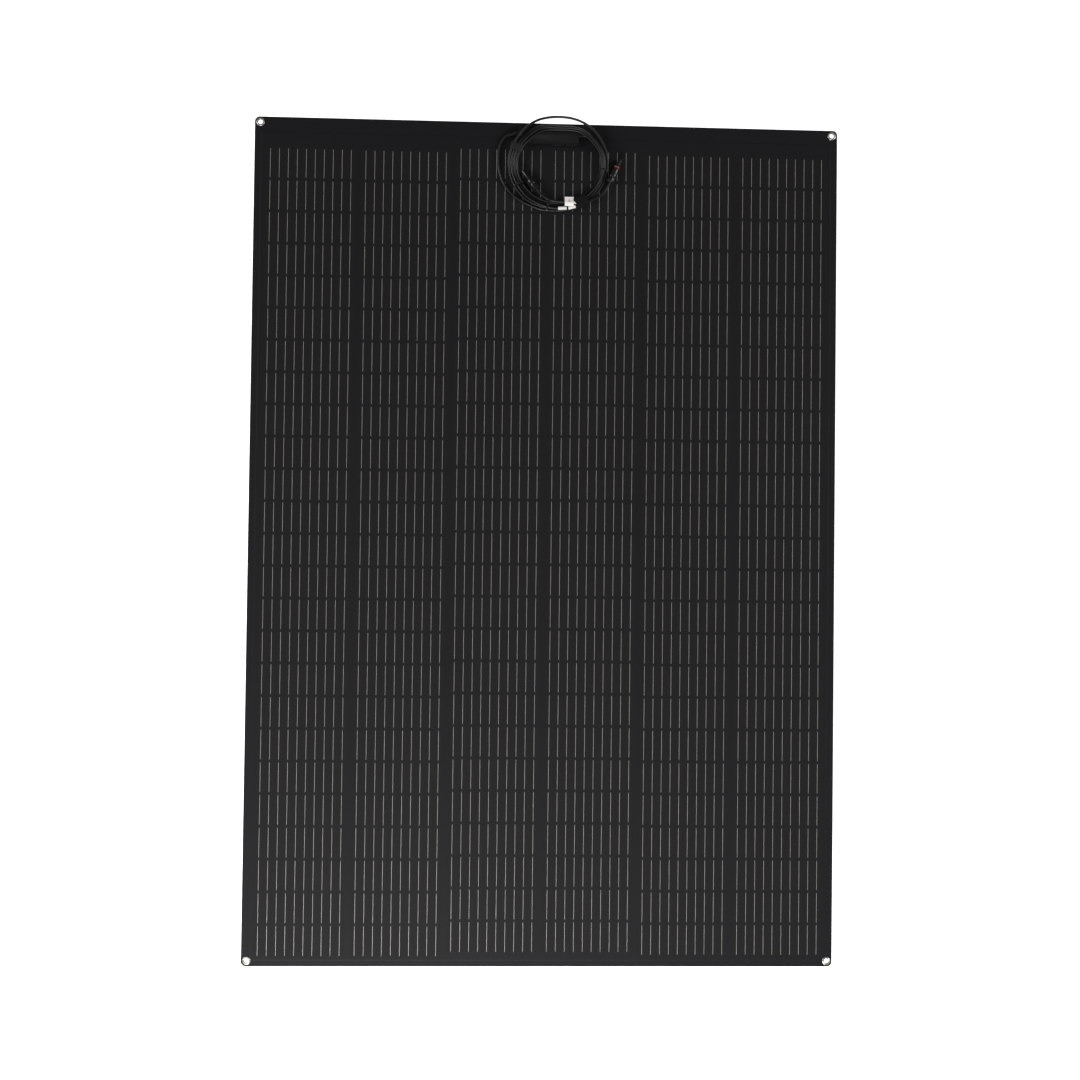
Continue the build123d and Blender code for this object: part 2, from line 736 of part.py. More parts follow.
def coil_prism():
    with BuildPart() as prism:
        extrude(coil_outline(), amount=COIL_HIGH_Z + 2 * COIL_HEIGHT)
    return prism.part


with BuildPart() as left_tail:
    add(swept("left_lead_tail", LEFT_TAIL))
    add(coil_prism(), mode=Mode.SUBTRACT)
left_tail.part.label = "left_lead_tail"
export_step(left_tail.part, "parts/left_lead_tail.step")

with BuildPart() as right_tail:
    add(swept("right_lead_tail", RIGHT_TAIL))
    add(coil.part, mode=Mode.SUBTRACT)
right_tail.part.label = "right_lead_tail"
export_step(right_tail.part, "parts/right_lead_tail.step")

with BuildPart() as plug_end:
    add(swept("plug_lead_end", PLUG_END))
    add(coil.part, mode=Mode.SUBTRACT)
plug_end.part.label = "plug_lead_end"
export_step(plug_end.part, "parts/plug_lead_end.step")

with BuildPart() as socket_end:
    add(swept("socket_lead_end", SOCKET_END))
    add(coil.part, mode=Mode.SUBTRACT)
socket_end.part.label = "socket_lead_end"
export_step(socket_end.part, "parts/socket_lead_end.step")


# ---- bands round the coil ----
def ring_station(angle):
    """The coil's inner and outer edge at an angle seen from the middle of its hole."""
    c, s = cos(radians(angle)), sin(radians(angle))
    if s < 0:
        inner = HOLE_RADIUS
    else:
        inner = 1 / hypot(c / HOLE_RADIUS, s / HOLE_TOP_RADIUS)
    dx, dy = HOLE_X - COIL_X, HOLE_Y - COIL_Y
    a = (c / COIL_RADIUS_X) ** 2 + (s / COIL_RADIUS_Y) ** 2
    b = 2 * (dx * c / COIL_RADIUS_X**2 + dy * s / COIL_RADIUS_Y**2)
    d = (dx / COIL_RADIUS_X) ** 2 + (dy / COIL_RADIUS_Y) ** 2 - 1
    outer = (-b + (b * b - 4 * a * d) ** 0.5) / (2 * a)
    return inner, outer


def band(angle, length, thickness):
    """A closed band that hugs the coil's section at an angle."""
    inner, outer = ring_station(angle)
    middle = (inner + outer) / 2
    c, s = cos(radians(angle)), sin(radians(angle))
    x, y = HOLE_X + middle * c, HOLE_Y + middle * s
    across = outer - inner + 2 * thickness
    rise = abs(coil_underside(y + length / 2) - coil_underside(y - length / 2))
    low = coil_underside(y) - rise / 2 - thickness
    high = coil_underside(y) + rise / 2 + COIL_HEIGHT + thickness
    plane = Plane(origin=(x, y, low), x_dir=(c, s, 0), z_dir=(0, 0, 1))
    with BuildPart() as block:
        with BuildSketch(plane):
            Rectangle(across, length)
        extrude(amount=high - low)
        for inside in (coil, left_tail, plug_end, socket_end):
            add(inside.part, mode=Mode.SUBTRACT)
    return block.part, plane.offset(high - low)


with BuildPart() as ties:
    for angle in TIE_ANGLES:
        hoop, top = band(angle, TIE_WIDTH, TIE_THICKNESS)
        add(hoop)
        with BuildSketch(top):
            Rectangle(TIE_HEAD, TIE_HEAD)
        extrude(amount=TIE_HEAD_HEIGHT)
ties.part.label = "cable_ties"
export_step(ties.part, "parts/cable_ties.step")

with BuildPart() as wraps:
    for angle, length, thickness in (GREY_WRAP, BLACK_WRAP):
        add(band(angle, length, thickness)[0])
wraps.part.label = "coil_wraps"
export_step(wraps.part, "parts/coil_wraps.step")

with BuildPart() as labels:
    angle, length, thickness = LABEL
    add(band(angle, length, thickness)[0])
    inner, outer = ring_station(angle)
    flag_x = HOLE_X + inner * cos(radians(angle)) + FLAG_SHIFT
    flag_y = HOLE_Y + inner * sin(radians(angle)) + 2 * thickness
    with Locations((flag_x, flag_y, FACE_Z + FLAG_HEIGHT)):
        Box(FLAG_WIDTH, FLAG_LENGTH, thickness, align=(Align.CENTER, Align.MIN, Align.MIN))
    add(coil.part, mode=Mode.SUBTRACT)
    add(wraps.part, mode=Mode.SUBTRACT)
labels.part.label = "lead_labels"
export_step(labels.part, "parts/lead_labels.step")


# ---- connectors, each built along its own axis from the cable's end ----
def connector_plane(rear, heading, distance=0.0):
    size = hypot(*heading)
    return Plane(
        origin=ahead(rear, heading, distance),
        x_dir=(heading[1] / size, -heading[0] / size, 0),
        z_dir=(heading[0] / size, heading[1] / size, 0),
    )


LOW = (Align.CENTER, Align.CENTER, Align.MIN)
NECK_START = NUT_LENGTH - NUT_CAVITY_DEPTH


def nut(rear, heading):
    """A ribbed cap nut, open to the body in front and bored for the cable behind."""
    plane = connector_plane(rear, heading)
    with BuildPart(plane) as piece:
        with BuildSketch(plane):
            RegularPolygon(NUT_RADIUS, NUT_FLATS)
        extrude(amount=NUT_LENGTH)
        Cylinder(CABLE_RADIUS + CABLE_CLEARANCE, NUT_LENGTH, align=LOW, mode=Mode.SUBTRACT)
        with Locations((0, 0, NECK_START)):
            Cylinder(
                NECK_RADIUS + NUT_CLEARANCE, NUT_CAVITY_DEPTH, align=LOW, mode=Mode.SUBTRACT
            )
    return piece.part


def neck():
    """The body's threaded neck inside the nut, bored for the cable, on the current plane."""
    start = NECK_START + NUT_END_GAP
    with Locations((0, 0, start)):
        Cylinder(NECK_RADIUS, NUT_LENGTH + NUT_END_GAP - start, align=LOW)


def tip_bore(tip):
    with Locations((0, 0, tip - CONTACT_LENGTH)):
        Cylinder(TIP_BORE_RADIUS, CONTACT_LENGTH, align=LOW, mode=Mode.SUBTRACT)


BODY_START = NUT_LENGTH + NUT_END_GAP
PLUG_FRONT = BODY_START + PLUG_BODY_LENGTH
PLUG_TIP = PLUG_FRONT + PLUG_TUBE_LENGTH
SOCKET_FRONT = BODY_START + SOCKET_BODY_LENGTH
SOCKET_TIP = SOCKET_FRONT + SOCKET_BARREL_LENGTH

with BuildPart() as plug_nut:
    add(nut(PLUG_REAR, PLUG_HEADING))
plug_nut.part.label = "plug_nut"
export_step(plug_nut.part, "parts/plug_nut.step")

with BuildPart(connector_plane(PLUG_REAR, PLUG_HEADING)) as plug_body:
    neck()
    with Locations((0, 0, BODY_START)):
        Cylinder(PLUG_BODY_RADIUS, PLUG_BODY_LENGTH * 0.4, align=LOW)
    with Locations((0, 0, BODY_START + PLUG_BODY_LENGTH * 0.4)):
        Cone(PLUG_BODY_RADIUS, PLUG_SHOULDER_RADIUS, PLUG_BODY_LENGTH * 0.6, align=LOW)
    with Locations((0, 0, PLUG_FRONT)):
        Cylinder(PLUG_TUBE_RADIUS, PLUG_TUBE_LENGTH, align=LOW)
    tip_bore(PLUG_TIP)
plug_body.part.label = "plug_body"
export_step(plug_body.part, "parts/plug_body.step")

with BuildPart(connector_plane(PLUG_REAR, PLUG_HEADING)) as plug_seal:
    with Locations((0, 0, PLUG_FRONT)):
        Cylinder(SEAL_RADIUS, SEAL_LENGTH, align=LOW)
        Cylinder(PLUG_TUBE_RADIUS, SEAL_LENGTH, align=LOW, mode=Mode.SUBTRACT)
    rims = plug_seal.edges().filter_by(GeomType.CIRCLE)
    fillet([e for e in rims if e.radius > PLUG_TUBE_RADIUS + 1], radius=SEAL_LENGTH * 0.35)
plug_seal.part.label = "plug_seal"
export_step(plug_seal.part, "parts/plug_seal.step")

with BuildPart() as socket_nut:
    add(nut(SOCKET_REAR, SOCKET_HEADING))
socket_nut.part.label = "socket_nut"
export_step(socket_nut.part, "parts/socket_nut.step")

with BuildPart(connector_plane(SOCKET_REAR, SOCKET_HEADING)) as socket_body:
    neck()
    with Locations((0, 0, BODY_START)):
        Cylinder(SOCKET_BODY_RADIUS, SOCKET_BODY_LENGTH, align=LOW)
    with Locations((0, 0, SOCKET_FRONT)):
        Cylinder(SOCKET_BARREL_RADIUS, SOCKET_BARREL_LENGTH, align=LOW)
    # two latch arms beside the barrel
    arm = (LATCH_ARM_SPREAD - LATCH_ARM_WIDTH) / 2
    with Locations((arm, 0, BODY_START), (-arm, 0, BODY_START)):
        Box(LATCH_ARM_WIDTH, LATCH_ARM_HEIGHT, LATCH_ARM_LENGTH, align=LOW)
    with Locations((0, 0, BODY_START)):
        Box(LATCH_ARM_SPREAD, LATCH_ARM_HEIGHT, LATCH_ARM_WIDTH, align=LOW)
    tip_bore(SOCKET_TIP)
socket_body.part.label = "socket_body"
export_step(socket_body.part, "parts/socket_body.step")

with BuildPart() as contacts:
    for rear, heading, tip in (
        (PLUG_REAR, PLUG_HEADING, PLUG_TIP),
        (SOCKET_REAR, SOCKET_HEADING, SOCKET_TIP),
    ):
        plane = connector_plane(rear, heading, tip - CONTACT_LENGTH)
        with BuildSketch(plane):
            Circle(CONTACT_RADIUS)
        extrude(amount=CONTACT_LENGTH * 0.9)
contacts.part.label = "contacts"
export_step(contacts.part, "parts/contacts.step")

print("sheet", round(SHEET_WIDTH, 2), "x", round(SHEET_HEIGHT, 2), "face at", FACE_Z)
print("bending lines at y", [round(bend_y(n), 3) for n in range(1, PANELS)], "z", MID_Z)
print("plug axis", ahead(PLUG_REAR, PLUG_HEADING, 0), "tip", ahead(PLUG_REAR, PLUG_HEADING, PLUG_TIP))
print("socket axis", ahead(SOCKET_REAR, SOCKET_HEADING, 0))
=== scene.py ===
"""A flexible solar sheet with its junction box, eyelets and two coiled leads.

The file is laid out as an add-on: one operator makes each group of pieces, and the panel in the
3D view's sidebar lists them. Lengths are in metres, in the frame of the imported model."""

import json
import math

import bpy
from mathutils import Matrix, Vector


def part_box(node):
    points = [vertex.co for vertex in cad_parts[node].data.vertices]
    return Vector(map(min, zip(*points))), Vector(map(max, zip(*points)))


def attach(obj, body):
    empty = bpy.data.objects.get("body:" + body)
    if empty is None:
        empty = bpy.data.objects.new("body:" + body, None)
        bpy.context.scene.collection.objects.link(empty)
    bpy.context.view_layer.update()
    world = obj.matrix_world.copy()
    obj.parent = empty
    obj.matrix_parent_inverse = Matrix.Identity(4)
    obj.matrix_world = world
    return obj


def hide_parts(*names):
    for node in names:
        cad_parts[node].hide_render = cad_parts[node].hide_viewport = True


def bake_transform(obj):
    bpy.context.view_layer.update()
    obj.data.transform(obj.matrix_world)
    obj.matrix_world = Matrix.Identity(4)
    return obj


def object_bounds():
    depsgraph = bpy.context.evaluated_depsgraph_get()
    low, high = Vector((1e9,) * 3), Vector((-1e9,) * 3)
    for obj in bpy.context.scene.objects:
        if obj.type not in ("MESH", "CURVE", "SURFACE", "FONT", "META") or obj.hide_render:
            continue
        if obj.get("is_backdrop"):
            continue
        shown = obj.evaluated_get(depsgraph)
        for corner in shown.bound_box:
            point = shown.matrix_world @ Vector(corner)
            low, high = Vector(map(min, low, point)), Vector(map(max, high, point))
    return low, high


bl_info = {
    "name": "Flexible solar sheet",
    "version": (1, 0, 0),
    "blender": (4, 5, 0),
    "location": "View3D > Sidebar > Solar sheet",
    "description": "Builds the skin, cells, leads and fittings of a flexible solar sheet",
    "category": "Add Mesh",
}

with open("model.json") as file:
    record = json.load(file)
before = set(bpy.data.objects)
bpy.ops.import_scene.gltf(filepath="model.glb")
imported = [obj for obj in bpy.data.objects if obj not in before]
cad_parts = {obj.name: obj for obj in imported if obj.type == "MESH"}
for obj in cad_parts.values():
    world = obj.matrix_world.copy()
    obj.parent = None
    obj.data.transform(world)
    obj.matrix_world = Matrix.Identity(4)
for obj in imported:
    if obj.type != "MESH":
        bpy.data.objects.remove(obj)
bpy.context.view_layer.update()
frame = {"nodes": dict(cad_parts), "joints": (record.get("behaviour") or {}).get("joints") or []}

MM = 0.001
SAME = 1e-6  # places closer together than this are taken as the same
FILM_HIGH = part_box("front_film_1")[1]
BACK_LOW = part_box("back_film_5")[0]
SHEET_HALF_WIDTH = FILM_HIGH.x
TOP_EDGE = FILM_HIGH.y
BOTTOM_EDGE = BACK_LOW.y
FACE_Z = FILM_HIGH.z
BACK_Z = BACK_LOW.z
BASE_LOW, BASE_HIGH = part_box("junction_box_base")
LID_LOW, LID_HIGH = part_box("junction_box_lid")
BENDS = sorted(
    (j for j in frame["joints"] if j["name"].startswith("bend")), key=lambda j: -j["pos_m"][1])
PANELS = len(BENDS) + 1
CELLS = [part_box(f"cells_{n}") for n in range(1, PANELS + 1)]


# ---------------------------------------------------------------- settings
class SheetSettings(bpy.types.PropertyGroup):
    """The laminate: its cell grid, its relief and its ribbons."""

    columns: bpy.props.IntProperty(name="Columns", description="Columns of cells", default=6)
    rows: bpy.props.IntProperty(name="Rows", description="Rows of cells", default=25)
    cell_width: bpy.props.FloatProperty(
        name="Cell width", description="Across the sheet", default=0.182, unit="LENGTH")
    cell_height: bpy.props.FloatProperty(
        name="Cell height", description="Along the sheet", default=0.0607, unit="LENGTH")
    column_gap: bpy.props.FloatProperty(
        name="Column gap", description="Between two columns", default=0.0118, unit="LENGTH")
    row_gap: bpy.props.FloatProperty(
        name="Row gap", description="Between two rows", default=0.0049, unit="LENGTH")
    ribbons: bpy.props.IntProperty(name="Ribbons", description="Ribbons on a cell", default=10)
    ribbon_width: bpy.props.FloatProperty(
        name="Ribbon width", description="Width that shows", default=0.0009, unit="LENGTH")
    ribbon_short: bpy.props.FloatProperty(
        name="Ribbon end", description="Bare cell past a ribbon's end", default=0.0007, unit="LENGTH")
    corner: bpy.props.FloatProperty(
        name="Corner radius", description="Outer corners", default=0.010, unit="LENGTH")
    rim_drop: bpy.props.FloatProperty(
        name="Rim drop", description="How far the rim lies below the field", default=0.00025,
        unit="LENGTH")
    rim_side: bpy.props.FloatProperty(
        name="Side rim", description="Width of the rim at the sides", default=0.013, unit="LENGTH")
    rim_top: bpy.props.FloatProperty(
        name="Top rim", description="Width of the rim at the box edge", default=0.030, unit="LENGTH")
    rim_bottom: bpy.props.FloatProperty(
        name="Bottom rim", description="Width of the rim at the far edge", default=0.012,
        unit="LENGTH")


class LeadSettings(bpy.types.PropertyGroup):
    """The two leads and the coil that they are wound into."""

    diameter: bpy.props.FloatProperty(
        name="Diameter", description="Outside the jacket", default=0.005, unit="LENGTH")
    points_per_turn: bpy.props.IntProperty(
        name="Points per turn", description="Control points in one turn of the coil", default=24)
    middle_x: bpy.props.FloatProperty(
        name="Coil middle", description="Across the sheet", default=0.024, unit="LENGTH")
    middle_down: bpy.props.FloatProperty(
        name="Coil drop", description="Below the sheet's edge", default=0.082, unit="LENGTH")
    low_z: bpy.props.FloatProperty(
        name="Height on sheet", description="Middle of a lead on the sheet", default=0.0060,
        unit="LENGTH")
    high_z: bpy.props.FloatProperty(
        name="Height on lid", description="Middle of a lead on the box", default=0.0196,
        unit="LENGTH")


class FinishSettings(bpy.types.PropertyGroup):
    """Colours that a user would change."""

    cell: bpy.props.FloatVectorProperty(
        name="Cell", description="Film over the cells", subtype="COLOR", size=3,
        default=(0.0044, 0.0041, 0.0045))
    border: bpy.props.FloatVectorProperty(
        name="Border", description="Film beside the cells", subtype="COLOR", size=3,
        default=(0.0040, 0.0039, 0.0047))
    ribbon: bpy.props.FloatVectorProperty(
        name="Ribbon", description="Tinned ribbon under the film", subtype="COLOR", size=3,
        default=(0.35, 0.34, 0.33))
    plastic: bpy.props.FloatVectorProperty(
        name="Box plastic", description="Junction box and connectors", subtype="COLOR", size=3,
        default=(0.0030, 0.0030, 0.0032))
    jacket: bpy.props.FloatVectorProperty(
        name="Jacket", description="The leads", subtype="COLOR", size=3,
        default=(0.0036, 0.0036, 0.0038))
    seal: bpy.props.FloatVectorProperty(
        name="Seal", description="Rubber ring of the plug", subtype="COLOR", size=3,
        default=(0.17, 0.013, 0.009))
    paper: bpy.props.FloatVectorProperty(
        name="Label", description="Label paper", subtype="COLOR", size=3,
        default=(0.72, 0.71, 0.69))


class StageSettings(bpy.types.PropertyGroup):
    """The camera and the floor."""

    camera_place: bpy.props.FloatVectorProperty(
        name="Camera", description="Where the camera stands", subtype="TRANSLATION", size=3,
        default=(-0.1446, -0.0767, 3.0579))
    camera_turn: bpy.props.FloatVectorProperty(
        name="Camera turn", description="Turn from looking straight down", subtype="EULER", size=3,
        default=(0.02580, -0.04510, 0.01190))
    lens: bpy.props.FloatProperty(
        name="Lens", description="Focal length in millimetres", default=50.0)
    floor_size: bpy.props.FloatProperty(
        name="Floor", description="Side of the floor", default=14.0, unit="LENGTH")
    floor_drop: bpy.props.FloatProperty(
        name="Floor drop", description="Room below the sheet for it to bend down into",
        default=0.19, unit="LENGTH")


# ---------------------------------------------------------------- shared effects
def new_group(name, inputs, outputs):
    """An empty shader group with its sockets; returns it and its two end nodes."""
    group = bpy.data.node_groups.new(name, "ShaderNodeTree")
    for label, kind, value in inputs:
        socket = group.interface.new_socket(label, in_out="INPUT", socket_type=kind)
        if value is not None:
            socket.default_value = value
    for label, kind in outputs:
        group.interface.new_socket(label, in_out="OUTPUT", socket_type=kind)
    start = group.nodes.new("NodeGroupInput")
    end = group.nodes.new("NodeGroupOutput")
    return group, start, end


def feed(tree, socket, value):
    """Links a socket to another one, or gives it a plain value."""
    if isinstance(value, bpy.types.NodeSocket):
        tree.links.new(value, socket)
    else:
        socket.default_value = value


def add_node(tree, kind, settings=None, **inputs):
    """One node with its settings; each input is a plain value or a socket to link."""
    node = tree.nodes.new(kind)
    for key, value in (settings or {}).items():
        setattr(node, key, value)
    for key, value in inputs.items():
        feed(tree, node.inputs[key.replace("_", " ")], value)
    return node


def put_group(tree, group, **inputs):
    return add_node(tree, "ShaderNodeGroup", {"node_tree": group}, **inputs)


def calculate(tree, operation, *values):
    """The result of a maths node; each value is a number or a socket."""
    node = add_node(tree, "ShaderNodeMath", {"operation": operation})
    for socket, value in zip(node.inputs, values):
        feed(tree, socket, value)
    return node.outputs[0]


def mix_colours(tree, share, first, second):
    mix = add_node(tree, "ShaderNodeMix", {"data_type": "RGBA"}, Factor=share, A=first, B=second)
    return mix.outputs["Result"]


def tone_group():
    """A colour that drifts slowly over a surface, with a fine grain on top."""
    if "Uneven tone" in bpy.data.node_groups:
        return bpy.data.node_groups["Uneven tone"]
    group, start, end = new_group(
        "Uneven tone",
        [("Place", "NodeSocketVector", None), ("Colour", "NodeSocketColor", (0.1, 0.1, 0.1, 1)),
         ("Drift scale", "NodeSocketFloat", 6.0), ("Grain scale", "NodeSocketFloat", 900.0),
         ("Drift", "NodeSocketFloat", 0.15), ("Grain", "NodeSocketFloat", 0.15)],
        [("Colour", "NodeSocketColor"), ("Grain", "NodeSocketFloat")])
    o = start.outputs
    drift = add_node(
        group, "ShaderNodeTexNoise", Vector=o["Place"], Scale=o["Drift scale"], Detail=3.0)
    grain = add_node(
        group, "ShaderNodeTexNoise", Vector=o["Place"], Scale=o["Grain scale"], Detail=2.0)
    shares = []
    for noise, amount in ((drift, o["Drift"]), (grain, o["Grain"])):
        centred = calculate(group, "SUBTRACT", noise.outputs["Fac"], 0.5)
        shares.append(calculate(group, "MULTIPLY", centred, amount))
    value = calculate(group, "MULTIPLY_ADD", calculate(group, "ADD", *shares), 2.0, 1.0)
    toned = add_node(group, "ShaderNodeHueSaturation", Color=o["Colour"], Value=value)
    feed(group, end.inputs["Colour"], toned.outputs["Color"])
    feed(group, end.inputs["Grain"], grain.outputs["Fac"])
    return group


def dimple_group():
    """The height of a film's small dimples, a rounded pit at the middle of each."""
    if "Film dimples" in bpy.data.node_groups:
        return bpy.data.node_groups["Film dimples"]
    group, start, end = new_group(
        "Film dimples",
        [("Place", "NodeSocketVector", None), ("Per metre", "NodeSocketFloat", 700.0)],
        [("Height", "NodeSocketFloat")])
    pits = add_node(
        group, "ShaderNodeTexVoronoi", {"feature": "SMOOTH_F1"},
        Vector=start.outputs["Place"], Scale=start.outputs["Per metre"], Smoothness=0.6)
    feed(group, end.inputs["Height"], pits.outputs["Distance"])
    return group


def scuff_group():
    """A mask of faint rubbed patches and short scratches, from 0 to 1."""
    if "Scuffs" in bpy.data.node_groups:
        return bpy.data.node_groups["Scuffs"]
    group, start, end = new_group(
        "Scuffs",
        [("Place", "NodeSocketVector", None), ("Scale", "NodeSocketFloat", 40.0),
         ("Amount", "NodeSocketFloat", 0.5)],
        [("Mask", "NodeSocketFloat")])
    stretched = add_node(
        group, "ShaderNodeMapping", Vector=start.outputs["Place"], Scale=(1.0, 0.16, 1.0))
    streaks = add_node(
        group, "ShaderNodeTexNoise", Vector=stretched.outputs["Vector"],
        Scale=start.outputs["Scale"], Detail=6.0, Roughness=0.7)
    edge = add_node(group, "ShaderNodeMapRange", Value=streaks.outputs["Fac"],
                    From_Min=0.56, From_Max=0.78)
    mask = calculate(group, "MULTIPLY", edge.outputs["Result"], start.outputs["Amount"])
    feed(group, end.inputs["Mask"], mask)
    return group


# ---------------------------------------------------------------- materials
RELIEF_DEPTH = 0.0002  # metres, of grain and dimples


def finish(name, colour, roughness, by_uv=False, drift=0.12, grain=0.12, grain_scale=900.0,
           drift_scale=6.0, dimples=None, bump=0.1, scuffs=0.0, scuff_scale=40.0, metallic=0.0,
           specular=0.5, roughness_spread=0.1):
    """A moulded, coated or woven finish: uneven colour, grain, dimples and scuffs as asked."""
    if name in bpy.data.materials:
        return bpy.data.materials[name]
    material = bpy.data.materials.new(name)
    material.use_nodes = True
    tree = material.node_tree
    tree.nodes.clear()
    place = add_node(tree, "ShaderNodeTexCoord").outputs["UV" if by_uv else "Object"]
    tone = put_group(
        tree, tone_group(), Place=place, Colour=(*colour, 1.0), Drift=drift, Grain=grain,
        Grain_scale=grain_scale, Drift_scale=drift_scale)
    base = tone.outputs["Colour"]
    if scuffs:
        mask = put_group(tree, scuff_group(), Place=place, Scale=scuff_scale, Amount=scuffs)
        rubbed = (*(min(1.0, c * 1.8 + 0.01) for c in colour), 1.0)
        base = mix_colours(tree, mask.outputs["Mask"], base, rubbed)
    rough = add_node(
        tree, "ShaderNodeMapRange", Value=tone.outputs["Grain"],
        To_Min=max(0.05, roughness - roughness_spread),
        To_Max=min(1.0, roughness + roughness_spread))
    height = tone.outputs["Grain"]
    if dimples:
        height = put_group(
            tree, dimple_group(), Place=place, Per_metre=dimples).outputs["Height"]
    relief = add_node(
        tree, "ShaderNodeBump", Strength=bump, Distance=RELIEF_DEPTH, Height=height)
    shader = add_node(
        tree, "ShaderNodeBsdfPrincipled", Metallic=metallic, Specular_IOR_Level=specular,
        Base_Color=base, Roughness=rough.outputs["Result"], Normal=relief.outputs["Normal"])
    add_node(tree, "ShaderNodeOutputMaterial", Surface=shader.outputs["BSDF"])
    return material


def parts_of(material):
    """A finish's shader, the UV place of its texture and the socket that gives its colour."""
    nodes = material.node_tree.nodes
    shader = next(n for n in nodes if n.type == "BSDF_PRINCIPLED")
    place = next(n for n in nodes if n.type == "TEX_COORD").outputs["UV"]
    return shader, place, shader.inputs["Base Color"].links[0].from_socket


DIMPLES = 620.0  # to a metre of film
FILM = {"by_uv": True, "drift": 0.10, "grain_scale": 1100.0, "drift_scale": 3.0,
        "dimples": DIMPLES, "bump": 0.35, "specular": 0.14}


def film_over_cells(colours):
    return finish("film_over_cells", colours.cell, 0.62, grain=0.16, **FILM)


def film_border(colours):
    return finish("film_border", colours.border, 0.58, grain=0.14, **FILM)


def film_back():
    return finish("film_back", (0.0125, 0.0125, 0.0130), 0.52, by_uv=True, drift=0.12,
                  grain=0.10, drift_scale=2.5, bump=0.12, specular=0.4, scuffs=0.10, scuff_scale=9.0)


def tinned_ribbon(colours):
    """Ribbon seen through the dimpled film, with short bright and dull beads painted along its
    length: a painted highlight, broken up as the film's dimples break it.
    """
    if "tinned_ribbon" in bpy.data.materials:
        return bpy.data.materials["tinned_ribbon"]
    material = finish("tinned_ribbon", colours.ribbon, 0.48, by_uv=True, drift=0.0, grain=0.35,
                      grain_scale=1400.0, dimples=DIMPLES, bump=0.3, specular=0.5, metallic=0.6)
    tree = material.node_tree
    shader, place, base = parts_of(material)
    # painted highlight in short beads along a ribbon, and a different brightness at random from one
    # cell and ribbon to the next
    stretch = add_node(tree, "ShaderNodeMapping", Vector=place, Scale=(55.0, 280.0, 1.0))
    highlight_bead_noise = add_node(
        tree, "ShaderNodeTexNoise", Vector=stretch.outputs["Vector"], Scale=1.0, Detail=1.0)
    spread = add_node(tree, "ShaderNodeMapping", Vector=place, Scale=(55.0, 15.24, 1.0))
    segments = add_node(
        tree, "ShaderNodeTexVoronoi", Vector=spread.outputs["Vector"], Scale=1.0, Randomness=0.35)
    per_segment = add_node(tree, "ShaderNodeSeparateColor", Color=segments.outputs["Color"])
    # painted highlight: the beads lighten and darken the ribbon's colour
    painted_highlight = add_node(tree, "ShaderNodeMapRange", Value=highlight_bead_noise.outputs["Fac"],
                    From_Min=0.3, From_Max=0.7, To_Min=0.45, To_Max=1.35)
    segment = add_node(tree, "ShaderNodeMapRange", Value=per_segment.outputs["Red"],
                       To_Min=0.60, To_Max=1.25)
    brightness = calculate(tree, "MULTIPLY", painted_highlight.outputs["Result"], segment.outputs["Result"])
    toned = add_node(tree, "ShaderNodeHueSaturation", Color=base, Value=brightness)
    feed(tree, shader.inputs["Base Color"], toned.outputs["Color"])
    return material


def bright_nickel():
    return finish("bright_nickel", (0.34, 0.33, 0.31), 0.34, metallic=0.9, drift=0.06,
                  drift_scale=60.0, grain=0.04, bump=0.02, roughness_spread=0.05)


def moulded_black(colours):
    return finish("moulded_black", colours.plastic, 0.46, drift=0.10, grain=0.20,
                  grain_scale=2600.0, bump=0.22, scuffs=0.05, scuff_scale=90.0, specular=0.2)


def glossy_black(colours):
    return finish("glossy_black", colours.plastic, 0.30, drift=0.08, grain=0.12,
                  grain_scale=3200.0, bump=0.08, scuffs=0.06, scuff_scale=120.0, specular=0.35)


def cable_jacket(colours):
    return finish("cable_jacket", colours.jacket, 0.42, drift=0.14, drift_scale=30.0, grain=0.2,
                  grain_scale=2400.0, bump=0.16, scuffs=0.06, scuff_scale=110.0, specular=0.3)


def red_seal(colours):
    return finish("red_seal", colours.seal, 0.42, grain_scale=2600.0, bump=0.1)


def nylon_tie():
    return finish("nylon_tie", (0.0045, 0.0045, 0.0048), 0.36, grain_scale=3000.0, bump=0.1,
                  specular=0.35)


def grey_tape():
    return finish("grey_tape", (0.0052, 0.0054, 0.0058), 0.6, grain=0.3, grain_scale=1500.0,
                  bump=0.4, specular=0.25)


def black_tape():
    return finish("black_tape", (0.0022, 0.0022, 0.0023), 0.8, grain=0.3, grain_scale=1300.0,
                  bump=0.5, specular=0.12)


def tinned_contact():
    return finish("tinned_contact", (0.66, 0.64, 0.60), 0.3, metallic=1.0, grain_scale=3000.0)


def label_paper(colours, marks=True):
    """White label paper, with a few plain grey bars if marked, which say nothing."""
    name = "printed_paper" if marks else "plain_paper"
    if name in bpy.data.materials:
        return bpy.data.materials[name]
    material = finish(
        name, colours.paper, 0.55, grain=0.06, grain_scale=1800.0, bump=0.1, specular=0.3)
    if not marks:
        return material
    tree = material.node_tree
    shader, place, base = parts_of(material)
    bars = add_node(tree, "ShaderNodeTexWave", {"bands_direction": "Y"}, Vector=place, Scale=95.0)
    ink = add_node(tree, "ShaderNodeMapRange", Value=bars.outputs["Fac"],
                   From_Min=0.70, From_Max=0.80)
    printed = mix_colours(tree, ink.outputs["Result"], base, (0.24, 0.24, 0.25, 1.0))
    feed(tree, shader.inputs["Base Color"], printed)
    return material


# ---------------------------------------------------------------- modelling helpers
def only(obj):
    """Selects this object alone and makes it active."""
    bpy.ops.object.select_all(action="DESELECT")
    obj.select_set(True)
    bpy.context.view_layer.objects.active = obj
    return obj


def named(name):
    """The object that was just added, renamed, as the only selected one."""
    obj = bpy.context.active_object
    obj.name = name
    obj.data.name = name
    return only(obj)


def settle(obj):
    """Puts the object's place, turn and size into its mesh."""
    only(obj)
    bpy.ops.object.transform_apply(location=True, rotation=True, scale=True)
    return obj


